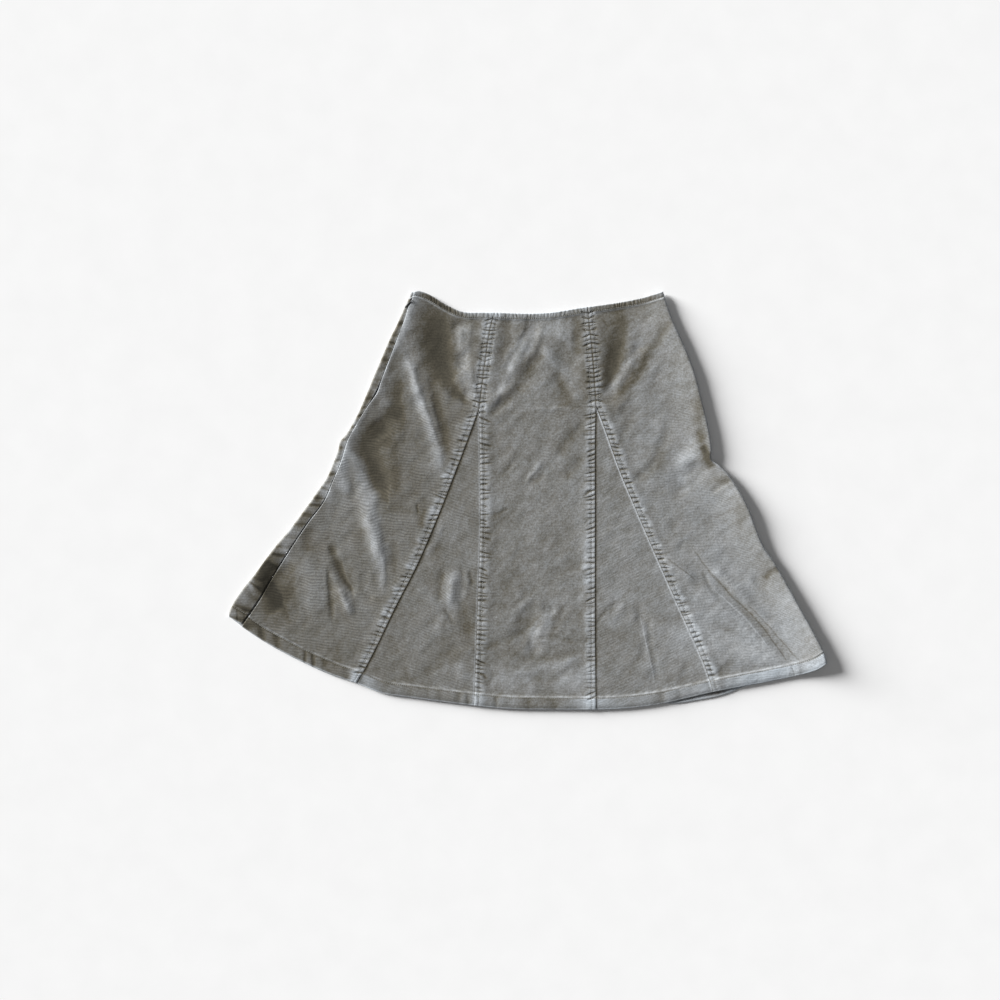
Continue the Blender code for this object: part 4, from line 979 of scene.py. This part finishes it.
def back():
    """From the hidden right side seam over the surface, round the left fold and up to the left side seam."""
    rows = len(back_flat.left_rows)
    reach = 1 - (TURN_UNDER + SEAM_GAP / 2) / back_flat.width[:, None]
    x, y, down, up = back_flat.at(reach * (1 - np.arange(UNDER_COLUMNS) / UNDER_COLUMNS))
    below = lay_points(x, y, under_rise(x, y, down, up) + lift(from_right_fold(x, y), y))
    corner_x, corner_y, corner_down, corner_up = back_flat.at(np.zeros((rows, 1)))
    outward = left_fold.square(left_fold.rows(BACK_ROWS), -1)
    angles = np.radians(np.linspace(-90, 90, FOLD_FACES + 1))
    turned = turn(corner_x, corner_y, outward, left_radius, angles, np.zeros_like(corner_x))
    seam_rows = side_seam.rows(BACK_ROWS)
    seam = side_seam.at(seam_rows)
    strip = np.hypot(seam[:, :1] - corner_x, seam[:, 1:] - corner_y)
    to_edge = (strip - slit(seam_rows)[0][:, None]) / strip
    over = (np.arange(1, STRIP_COLUMNS + 1) / STRIP_COLUMNS) * to_edge
    strip_x = corner_x + (seam[:, :1] - corner_x) * over
    strip_y = corner_y + (seam[:, 1:] - corner_y) * over
    seam_down = np.repeat(seam_rows[:, None], STRIP_COLUMNS, axis=1)
    seam_up = side_seam.length - seam_down
    above = lay_points(strip_x, strip_y, skin(strip_x, strip_y, seam_down, seam_up))
    middle = turned.shape[1]
    down = np.hstack([down, np.repeat(corner_down, middle, axis=1), seam_down])
    up = np.hstack([up, np.repeat(corner_up, middle, axis=1), seam_up])
    round_share = np.clip(np.sin(angles), 0, 1)
    on_top = np.concatenate([np.zeros(UNDER_COLUMNS), round_share, np.ones(STRIP_COLUMNS)])
    cloth = Cloth(np.concatenate([below, turned, above], axis=1), down, up, on_top)
    from_edge = (to_edge - np.hstack([np.zeros((rows, UNDER_COLUMNS + middle)), over])) * strip
    along = np.broadcast_to(seam_rows[:, None], from_edge.shape)
    count, depth = Gathers(71, 0, side_seam.length + 30, *STRIP_GATHERS).at(along, from_edge)
    cloth.seam[:] = np.stack([count, depth * on_top * 0.6, np.zeros_like(depth)], -1)
    cloth.raised -= STRIP_SINK * crest(count, 2) * depth * on_top
    # The back's hem edge underneath painted paler, as light on it where it lies in shade.
    cloth.wear_and_shading += stripes(up, UNDER_HEM_LIGHT) * (1 - on_top) - 0.04 * on_top
    finish_edges(cloth, back_hem)
    # The strip's edge painted paler, as light on it where it lies in shade.
    cloth.wear_and_shading += stripes(from_edge, STRIP_EDGE_LIGHT) * on_top
    cloth.roll(from_edge, STRIP_ROUND)
    return cloth


def add_piece(name, mesh, material):
    mesh.shade_smooth()
    mesh.materials.append(material)
    piece = bpy.data.objects.new(name, mesh)
    bpy.context.scene.collection.objects.link(piece)
    return piece


def shell_faces(rows, across):
    """The faces of a closed shell: an outer grid of points, an inner one, and the walls round their rims."""
    outer = np.arange(rows * across).reshape(rows, across)
    inner = outer + rows * across
    corners = (
        (outer[:-1, :-1], outer[1:, :-1], outer[1:, 1:], outer[:-1, 1:]),
        (inner[:-1, :-1], inner[:-1, 1:], inner[1:, 1:], inner[1:, :-1]),
        (outer[0, :-1], outer[0, 1:], inner[0, 1:], inner[0, :-1]),
        (outer[-1, 1:], outer[-1, :-1], inner[-1, :-1], inner[-1, 1:]),
        (outer[:-1, 0], inner[:-1, 0], inner[1:, 0], outer[1:, 0]),
        (outer[1:, -1], inner[1:, -1], inner[:-1, -1], outer[:-1, -1]))
    return np.concatenate([np.stack(corner, -1).reshape(-1, 4) for corner in corners]).tolist()


def store(mesh, name, values):
    """Keeps three values for each point of the outer face, and again for the inner one, as an attribute."""
    attribute = mesh.attributes.new(name, "FLOAT_VECTOR", "POINT")
    twice = np.concatenate([values.reshape(-1, 3)] * 2)
    attribute.data.foreach_set("vector", np.ascontiguousarray(twice, dtype=np.float32).reshape(-1))


def shell(name, cloth, grain, ribbing, slope, node, flat_size, area):
    """A closed shell of the cloth, which replaces its solid. grain is the lean of its wales from straight up,
    in degrees, ribbing is how strongly the nap shows in bands across them, and slope is the bands' slant."""
    outer, inner = cloth.faces_out()
    mesh = bpy.data.meshes.new(name)
    points = np.concatenate([outer.reshape(-1, 3), inner.reshape(-1, 3)]) * MM
    mesh.from_pydata(points.tolist(), [], shell_faces(*cloth.x.shape))
    lean = math.radians(grain)
    wales = cloth.x * math.cos(lean) + cloth.y * math.sin(lean)
    ribs = cloth.y + slope * cloth.x + RIBS_UP_SLOPES * outer[..., 2]
    full = RIBS_AT_WAIST + (1 - RIBS_AT_WAIST) * ease((RIBS_TOP - cloth.y) / RIBS_RUN)
    store(mesh, "lay", np.stack([wales, ribs, ribbing * cloth.on_top * full], -1))
    store(mesh, "seam", cloth.seam)
    store(mesh, "edge", cloth.edge)
    x = cloth.x + LINE_WANDER * value_noise(cloth.x, cloth.y, 9, 58)
    y = cloth.y + LINE_WANDER * value_noise(cloth.x, cloth.y, 9, 59)
    furrow, ridge = line_distance(x, y, FURROWS, FURROW_ENDS), line_distance(x, y, RIDGES, RIDGE_ENDS)
    store(mesh, "marks", np.stack([furrow, ridge, np.clip(cloth.wear_and_shading, -1, 1)], -1))
    piece = add_piece(name, mesh, corduroy)
    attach(piece, "skirt")
    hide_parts(node)
    [] if name == "back" else ["back"]
    return outer


class Field:
    """A socket of a material, which can be used in sums."""

    def __init__(self, finish, socket):
        self.finish, self.socket = finish, socket

    def math(self, operation, *others):
        inputs = dict(enumerate((self, *others)))
        return self.finish.node("ShaderNodeMath", {"operation": operation}, inputs)

    def __add__(self, other):
        return self.math("ADD", other)

    def __sub__(self, other):
        return self.math("SUBTRACT", other)

    def __mul__(self, other):
        return self.math("MULTIPLY", other)

    def __truediv__(self, other):
        return self.math("DIVIDE", other)

    def __rsub__(self, other):
        return self * -1 + other

    def __pow__(self, other):
        return self.math("POWER", other)

    __radd__ = __add__
    __rmul__ = __mul__

    def cosine(self):
        return self.math("COSINE")

    def crest(self):
        """1 where the value is whole, and 0 half-way between."""
        return (self * (2 * math.pi)).cosine() * 0.5 + 0.5

    def clamped(self):
        return self.finish.node("ShaderNodeClamp", {}, {0: self})


class Finish:
    """The nodes of one material."""

    def __init__(self, name, looks):
        self.material = bpy.data.materials.new(name)
        self.material.use_nodes = True
        self.tree = self.material.node_tree
        self.shader = self.tree.nodes["Principled BSDF"]
        for socket, value in looks.items():
            self.shader.inputs[socket].default_value = value

    def node(self, kind, settings, inputs, output=0):
        """Any node: its type, its settings, then the values or links of its sockets."""
        node = self.tree.nodes.new(kind)
        for setting, value in settings.items():
            if setting == "stops":
                self.set_stops(node.color_ramp, value)
            else:
                setattr(node, setting, value)
        for socket, value in inputs.items():
            self.feed(node.inputs[socket], value)
        return Field(self, node.outputs[output])

    def set_stops(self, ramp, stops):
        while len(ramp.elements) < len(stops):
            ramp.elements.new(0.5)
        for element, (position, colour) in zip(ramp.elements, stops):
            element.position = position
            element.color = (*colour, 1)

    def feed(self, socket, value):
        if isinstance(value, Field):
            self.tree.links.new(value.socket, socket)
        else:
            socket.default_value = value

    def paint(self, socket, value):
        """Feeds a socket of the material's shader."""
        self.feed(self.shader.inputs[socket], value)

    def part(self, vector, axis):
        return self.node("ShaderNodeSeparateXYZ", {}, {0: vector}, axis)

    def parts(self, name):
        """The three values of an attribute of the mesh."""
        kept = self.node("ShaderNodeAttribute", {"attribute_name": name}, {}, "Vector")
        return [self.part(kept, axis) for axis in (0, 1, 2)]

    def noise(self, place, scale, detail=2.0, roughness=0.5):
        settings = {"Vector": place, "Scale": scale, "Detail": detail, "Roughness": roughness}
        return self.node("ShaderNodeTexNoise", {}, settings)

    def ramp(self, stops, value):
        """The colour at a value, by stops that each have a position and a colour."""
        return self.node("ShaderNodeValToRGB", {"stops": stops}, {0: value})

    def vector(self, x, y, z):
        return self.node("ShaderNodeCombineXYZ", {}, {0: x, 1: y, 2: z})

    def place(self):
        """Position on the piece, in millimetres."""
        there = self.node("ShaderNodeTexCoord", {}, {}, "Object")
        return self.node("ShaderNodeVectorMath", {"operation": "SCALE"}, {0: there, "Scale": 1 / MM})

    def bump(self, height):
        """height is in millimetres."""
        self.paint("Normal", self.node("ShaderNodeBump", {}, {"Height": height, "Distance": MM}, "Normal"))

    def tint(self, colour, shade, warmth):
        """A colour made lighter or darker by one value, and warmer or cooler by another."""
        change = self.vector(shade * (1 + warmth), shade, shade * (1 - warmth))
        return self.node("ShaderNodeVectorMath", {"operation": "MULTIPLY"}, {0: colour, 1: change})


# Tones of the washed dye and of the light and shade painted on it, from a hollow in painted shade to a worn edge in
# painted light.
TONES = (
    (0.0, (0.036, 0.032, 0.022)),
    (0.25, (0.091, 0.081, 0.059)),
    (0.5, (0.179, 0.177, 0.166)),
    (0.75, (0.288, 0.297, 0.303)),
    (1.0, (0.450, 0.472, 0.490)),
)
WALE_PITCH, RIB_PITCH = 1.4, 4.2
FURROW_WIDTH, FURROW_SHADE = 1.8, 0.22
RIDGE_WIDTH, RIDGE_WEAR = 1.9, 0.20


def corduroy_finish():
    cloth = Finish("washed_corduroy", {
        "Roughness": 0.92, "Specular IOR Level": 0.12,
        "Sheen Weight": 0.08, "Sheen Roughness": 0.6, "Sheen Tint": (0.85, 0.92, 1.0, 1)})
    across, ribs, ribbing = cloth.parts("lay")
    count, gathered, pad = cloth.parts("seam")
    edge_count, edge_gathered, edge_paler = cloth.parts("edge")
    furrow, ridge, wear_and_shading = cloth.parts("marks")
    place = cloth.place()
    along = cloth.part(place, 1)
    wander = cloth.noise(place, 1 / 22, 1.0)
    wale = (across * (2 * math.pi / WALE_PITCH) + wander * 0.5).cosine() * 0.5 + 0.5
    rib = (ribs * (2 * math.pi / RIB_PITCH) + wander * 9).cosine() * ribbing
    rib = rib * (wander * 2 - 0.2).clamped()
    grain = cloth.noise(place, 1 / 2.6, 3.0, 0.75)
    slanted = cloth.vector((across - along) * 0.09, (across + along) * 0.035, 0.0)
    diagonal = cloth.noise(slanted, 1.0, 2.0, 0.6)
    streaks = cloth.noise(cloth.vector(across * 0.09, ribs * 0.42, 0.0), 1.0, 1.0, 0.5)
    blotch = cloth.noise(place, 1 / 14, 3.0, 0.62)
    patch = cloth.noise(place, 1 / 55, 2.0, 0.5)
    crease = count.crest() ** 3 * gathered
    edge_crease = edge_count.crest() ** 2 * edge_gathered
    worn = (1 - ridge / RIDGE_WIDTH).clamped() * RIDGE_WEAR
    thin = (1 - furrow / FURROW_WIDTH).clamped() * FURROW_SHADE - worn
    mottle = (diagonal - 0.5) * 0.38 + (blotch - 0.5) * 0.30 + (patch - 0.5) * 0.18 + (grain - 0.5) * 0.80
    mottle = mottle * (1 - ribbing * 0.35) * (wear_and_shading * 0.6 + 1).clamped()
    # Pads paler as worn dye; the creases of the gathers painted darker, as unworn dye and as painted shade in them.
    tone = wear_and_shading * 0.5 + 0.5 + mottle + (pad + edge_paler) * 0.5 - crease * 0.66 - edge_crease * 0.36 - thin
    # The cloth between the wales is painted a little darker, as their shade.
    shade = 1.0 + rib * 0.20 + (streaks - 0.5) * 0.3 - (1 - wale) * 0.05
    warmth = (cloth.noise(place, 1 / 26, 2.0) - 0.5) * 0.05
    warmth = warmth - edge_paler.clamped() * 0.05 - pad.clamped() * 0.02
    cloth.paint("Base Color", cloth.tint(cloth.ramp(TONES, tone.clamped()), shade, warmth))
    low = wale * 0.05 + grain * 0.25 + streaks * 0.12 + blotch * 0.4
    cloth.bump(low - crease * 0.6 - edge_crease * 0.4 - thin * 0.7)
    return cloth.material


def thread_finish():
    thread = Finish("cotton_thread", {"Roughness": 0.75})
    thread.bump(thread.noise(thread.place(), 2.5, 2.0) * 0.12)
    tone = thread.noise(thread.place(), 0.05, 1.0)
    thread.paint("Base Color", thread.ramp(((0.3, (0.17, 0.165, 0.15)), (0.7, (0.34, 0.35, 0.34))), tone))
    return thread.material


def lacquer_finish():
    lacquer = Finish("black_lacquer", {"Coat Weight": 0.3})
    scuffs = lacquer.noise(lacquer.place(), 0.9, 4.0, 0.7)
    stops = ((0.45, (0.008, 0.008, 0.009)), (0.75, (0.035, 0.034, 0.033)))
    lacquer.paint("Base Color", lacquer.ramp(stops, scuffs))
    lacquer.paint("Roughness", scuffs * 0.35 + 0.22)
    lacquer.bump(scuffs * 0.03)
    return lacquer.material


def tape_finish():
    tape = Finish("woven_tape", {"Roughness": 0.9, "Sheen Weight": 0.2})
    weave = tape.noise(tape.place(), 1.2, 3.0)
    tape.paint("Base Color", tape.ramp(((0.3, (0.010, 0.010, 0.010)), (0.8, (0.032, 0.031, 0.029))), weave))
    tape.bump(weave * 0.2)
    return tape.material


def floor_finish():
    floor = Finish("white_board", {"Roughness": 0.8, "Specular IOR Level": 0.1})
    grain = floor.noise(floor.place(), 0.02, 2.0)
    floor.paint("Base Color", floor.ramp(((0.3, (0.85, 0.85, 0.85)), (0.7, (0.87, 0.87, 0.87))), grain))
    return floor.material


corduroy, thread = corduroy_finish(), thread_finish()

STITCH_PITCH, STITCH_LENGTH, THREAD_RADIUS = 3.0, 2.3, 0.24
STITCHED_ROWS = slice(3, -3)     # the topstitching stops just short of the waist edge and the hem's
# The rings of a stitch, and of a tooth of the zip: how far along it, how high, and the share of its radius.
STITCH_RINGS = ((0.0, -0.35, 0.6), (0.15, 0.02, 1.0), (0.5, 0.14, 1.0), (0.85, 0.02, 1.0), (1.0, -0.35, 0.6))
TOOTH_RINGS = ((0.0, 0.0, 0.6), (0.1, 0.0, 1.25), (0.3, 0.0, 1.25), (0.45, 0.0, 0.8), (1.0, -0.1, 0.8))
ROD_SIDES, ROD_RISE = 6, 0.3
TOOTH_PITCH, TOOTH_PAST, TOOTH_REACH, TOOTH_RADIUS = 1.3, 0.5, 2.4, 0.34
TEETH_FROM_TOP, TEETH_FROM_END = 3, 5     # how far in from the tape's ends the teeth start and stop

# The pull tab, as in the solids but rounded all over. Its side is along it, and half its width there.
SLIDER_AT, SLIDER_ASIDE, CLEAR = 15.0, 0.95, 0.3
PULL_LEAN, PULL_THICK, PULL_ROUND, PULL_BACK = 43.0, 0.9, 0.3, -0.45
PULL_SIDE = ((PULL_BACK, 1.2), (-0.25, 1.45), (3.4, 1.45), (4.1, 1.3), (5.0, 1.06), (12.0, 1.06))
PULL_LENGTH, PULL_TIP_RADIUS = 13.15, 1.15
EYE_FROM, EYE_TO, EYE_HALF_WIDTH, EYE_CORNER = 0.45, 3.2, 0.85, 0.4


def stitches(name, runs):
    """Rows of stitches as one mesh. Each run has its surface points, and 1 for facing up or -1 for down."""
    starts, ends, facings = [], [], []
    for run, facing in runs:
        reach = distances(run)
        spots = np.arange(1.0, reach[-1] - STITCH_LENGTH, STITCH_PITCH)
        starts.append(places(spots, reach, run))
        ends.append(places(spots + STITCH_LENGTH, reach, run))
        facings.append(np.full(len(spots), facing))
    facing = np.concatenate(facings)[:, None] * np.array((0, 0, 1))
    piece = short_rods(
        name, np.concatenate(starts), np.concatenate(ends), facing, STITCH_RINGS, THREAD_RADIUS, thread)
    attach(piece, "skirt")


def short_rods(name, start, end, facing, profile, radius, material):
    """Many short round rods as one mesh, each from a start to an end with rings by the profile."""
    heading = end - start
    heading /= np.linalg.norm(heading, axis=1)[:, None]
    aside = np.cross(heading, facing)
    aside /= np.linalg.norm(aside, axis=1)[:, None]
    above = np.cross(aside, heading)
    rings = []
    for share, height, size in profile:
        centre = start + (end - start) * share + above * (height + radius * ROD_RISE)
        for side in range(ROD_SIDES):
            angle = 2 * math.pi * side / ROD_SIDES
            rings.append(centre + (aside * math.cos(angle) + above * math.sin(angle)) * radius * size)
    points = np.stack(rings, 1)
    each = len(profile) * ROD_SIDES
    around = np.arange(ROD_SIDES)
    beside = (around + 1) % ROD_SIDES
    firsts = np.arange(len(profile) - 1)[:, None] * ROD_SIDES
    near, far = firsts + around, firsts + beside
    sides = np.stack([near, far, far + ROD_SIDES, near + ROD_SIDES], -1).reshape(-1, 4)
    caps = np.stack([around[::-1], each - ROD_SIDES + around])
    rods = np.arange(len(start))[:, None, None] * each
    faces = [(part + rods).reshape(-1, part.shape[1]).tolist() for part in (sides, caps)]
    mesh = bpy.data.meshes.new(name)
    mesh.from_pydata((points.reshape(-1, 3) * MM).tolist(), [], faces[0] + faces[1])
    return add_piece(name, mesh, material)


def make_cloth():
    cut = (
        ("left_front", left_front(), 20, 1.0, 0.12, "front_left_panel", (0.262, 0.600), 0.0898),
        ("centre_front", centre_front(), 0, 0.3, 0.05, "front_centre_panel", (0.180, 0.580), 0.0965),
        ("right_front", right_front(), -20, 0.5, -0.06, "front_right_panel", (0.290, 0.640), 0.1037),
        ("left_godet", godet(left_godet_flat, -0.5, 0.5), 12, 0.7, 0.35,
            "godet_left", (0.172, 0.440), 0.0362),
        ("right_godet", godet(right_godet_flat, -0.5, 1.1), -12, 0.45, -0.48,
            "godet_right", (0.172, 0.440), 0.0385),
        ("back", back(), 0, 0.6, 0.1, "back_panel", (0.880, 0.600), 0.3429))
    return [(cloth, shell(name, cloth, *details)) for name, cloth, *details in cut]


def make_stitching(pieces):
    seams, hem, waist = [], [], []
    hem_row, waist_row = -1 - HEM_ROWS[::-1].index(HEM_DEPTH), WAIST_ROWS.index(WAIST_DEPTH)
    for cloth, outer in pieces:
        seams += [(outer[STITCHED_ROWS, column], 1) for column in cloth.stitched]
        for facing, faces in ((1, cloth.on_top[0] == 1), (-1, cloth.on_top[0] == 0)):
            if faces.sum() > 1:
                hem.append((outer[hem_row, faces], facing))
                if cloth.down.min() < 1:
                    waist.append((outer[waist_row, faces], facing))
    stitches("seam_topstitching", seams)
    stitches("hem_stitching", hem)
    stitches("waist_stitching", waist)


def make_teeth(tape):
    """The zip's teeth, closed over each other from its two sides along the slit."""
    distance = np.arange(TAPE_FROM + TEETH_FROM_TOP, TAPE_TO - TEETH_FROM_END, TOOTH_PITCH)
    middle = side_seam.at(distance)
    height = skin(*middle.T, distance, side_seam.length - distance) - WALL - CLEAR + TOOTH_RADIUS
    side = np.where(np.arange(len(distance)) % 2 == 0, 1, -1)[:, None]
    aside = side_seam.square(distance, 1) * side
    reaches = (-TOOTH_PAST, TOOTH_REACH)
    start, end = [np.hstack([middle + aside * reach, height[:, None]]) for reach in reaches]
    facing = np.tile((0, 0, 1), (len(distance), 1))
    piece = short_rods("zip_teeth", start, end, facing, TOOTH_RINGS, TOOTH_RADIUS, tape)
    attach(piece, "skirt")


def both_sides(side):
    """A closed outline from the points of one side."""
    return side + [(along, -half) for along, half in reversed(side) if half]


def pull_outline():
    """The pull's outer and inner outline, taken in by the rounding that goes round them."""
    side = [(max(along, PULL_BACK + PULL_ROUND), half - PULL_ROUND) for along, half in PULL_SIDE]
    for angle in np.radians(np.arange(90, -1, -15)):
        tip = PULL_LENGTH - PULL_TIP_RADIUS * (1 - math.cos(angle))
        side.append((tip - PULL_ROUND * math.cos(angle), (PULL_TIP_RADIUS - PULL_ROUND) * math.sin(angle)))
    near, far, half = EYE_FROM - PULL_ROUND, EYE_TO + PULL_ROUND, EYE_HALF_WIDTH + PULL_ROUND * 0.4
    shoulder = half - EYE_CORNER
    eye = [(near, shoulder), (near + EYE_CORNER, half), (far - EYE_CORNER, half), (far, shoulder)]
    return both_sides(side), both_sides(eye)


def make_pull(lacquer):
    """The pull tab on its bar, which lies through the slider's bridge."""
    curve = bpy.data.curves.new("pull_tab", "CURVE")
    curve.dimensions = "2D"
    curve.fill_mode = "BOTH"
    curve.extrude = (PULL_THICK / 2 - PULL_ROUND) * MM
    curve.bevel_depth = PULL_ROUND * MM
    curve.bevel_resolution = 3
    for outline in pull_outline():
        spline = curve.splines.new("POLY")
        spline.points.add(len(outline) - 1)
        for point, (along, aside) in zip(spline.points, outline):
            point.co = (along * MM, aside * MM, 0, 1)
        spline.use_cyclic_u = True
    form = bpy.data.objects.new("pull_form", curve)
    mesh = bpy.data.meshes.new_from_object(form)
    bpy.data.objects.remove(form)
    hinge = side_seam.at(SLIDER_AT) + side_seam.square(SLIDER_AT, 1) * SLIDER_ASIDE
    height = LEFT_FOLD_HEIGHT + CLEAR + PULL_THICK / 2
    place = Matrix.Translation(Vector((*hinge, height)) * MM)
    mesh.transform(place @ Matrix.Rotation(math.radians(-90 - PULL_LEAN), 4, "Z"))
    mesh.materials.clear()
    piece = add_piece("pull_tab", mesh, lacquer)
    mesh.set_sharp_from_angle(angle=math.radians(40))
    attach(piece, "pull")
    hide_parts("zip_pull")


def dress_zip():
    lacquer, tape = lacquer_finish(), tape_finish()
    for node, material in (("zip_slider", lacquer), ("zip_tape", tape)):
        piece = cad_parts[node]
        piece.data.materials.clear()
        piece.data.materials.append(material)
    make_teeth(tape)
    make_pull(lacquer)


# The stage, in metres and degrees: a low broad window at the upper left, and the soft light of a pale room.
FLOOR_WIDTH = 8
WINDOW_STRENGTH, WINDOW_SPREAD, WINDOW_ELEVATION, WINDOW_AZIMUTH = 11.9, 25, 13.5, 152
ROOM_STRENGTH = 0.19
CAMERA_AT, LENS, SENSOR_WIDTH = (-0.0393, 0.0, 2.018), 50, 36


def add_floor():
    bpy.ops.mesh.primitive_plane_add(size=FLOOR_WIDTH)
    floor = bpy.context.object
    floor.name = "floor"
    floor.data.materials.append(floor_finish())


def add_window():
    sun = bpy.data.lights.new("window", "SUN")
    sun.energy = WINDOW_STRENGTH
    sun.angle = math.radians(WINDOW_SPREAD)
    window = bpy.data.objects.new("window", sun)
    elevation, azimuth = math.radians(WINDOW_ELEVATION), math.radians(WINDOW_AZIMUTH)
    level = math.cos(elevation)
    towards = Vector((math.cos(azimuth) * level, math.sin(azimuth) * level, math.sin(elevation)))
    window.rotation_euler = towards.to_track_quat("Z", "Y").to_euler()
    bpy.context.scene.collection.objects.link(window)


def add_room_light():
    world = bpy.data.worlds.new("room")
    bpy.context.scene.world = world
    world.use_nodes = True
    room = world.node_tree.nodes["Background"]
    room.inputs["Color"].default_value = (1, 1, 1, 1)
    room.inputs["Strength"].default_value = ROOM_STRENGTH


def add_camera():
    lens = bpy.data.cameras.new("camera")
    lens.lens = LENS
    lens.sensor_width = SENSOR_WIDTH
    camera = bpy.data.objects.new("camera", lens)
    camera.location = CAMERA_AT
    bpy.context.scene.collection.objects.link(camera)
    bpy.context.scene.camera = camera
    bpy.context.scene.view_settings.view_transform = "Standard"


make_stitching(make_cloth())
dress_zip()
add_floor()
add_window()
add_room_light()
add_camera()
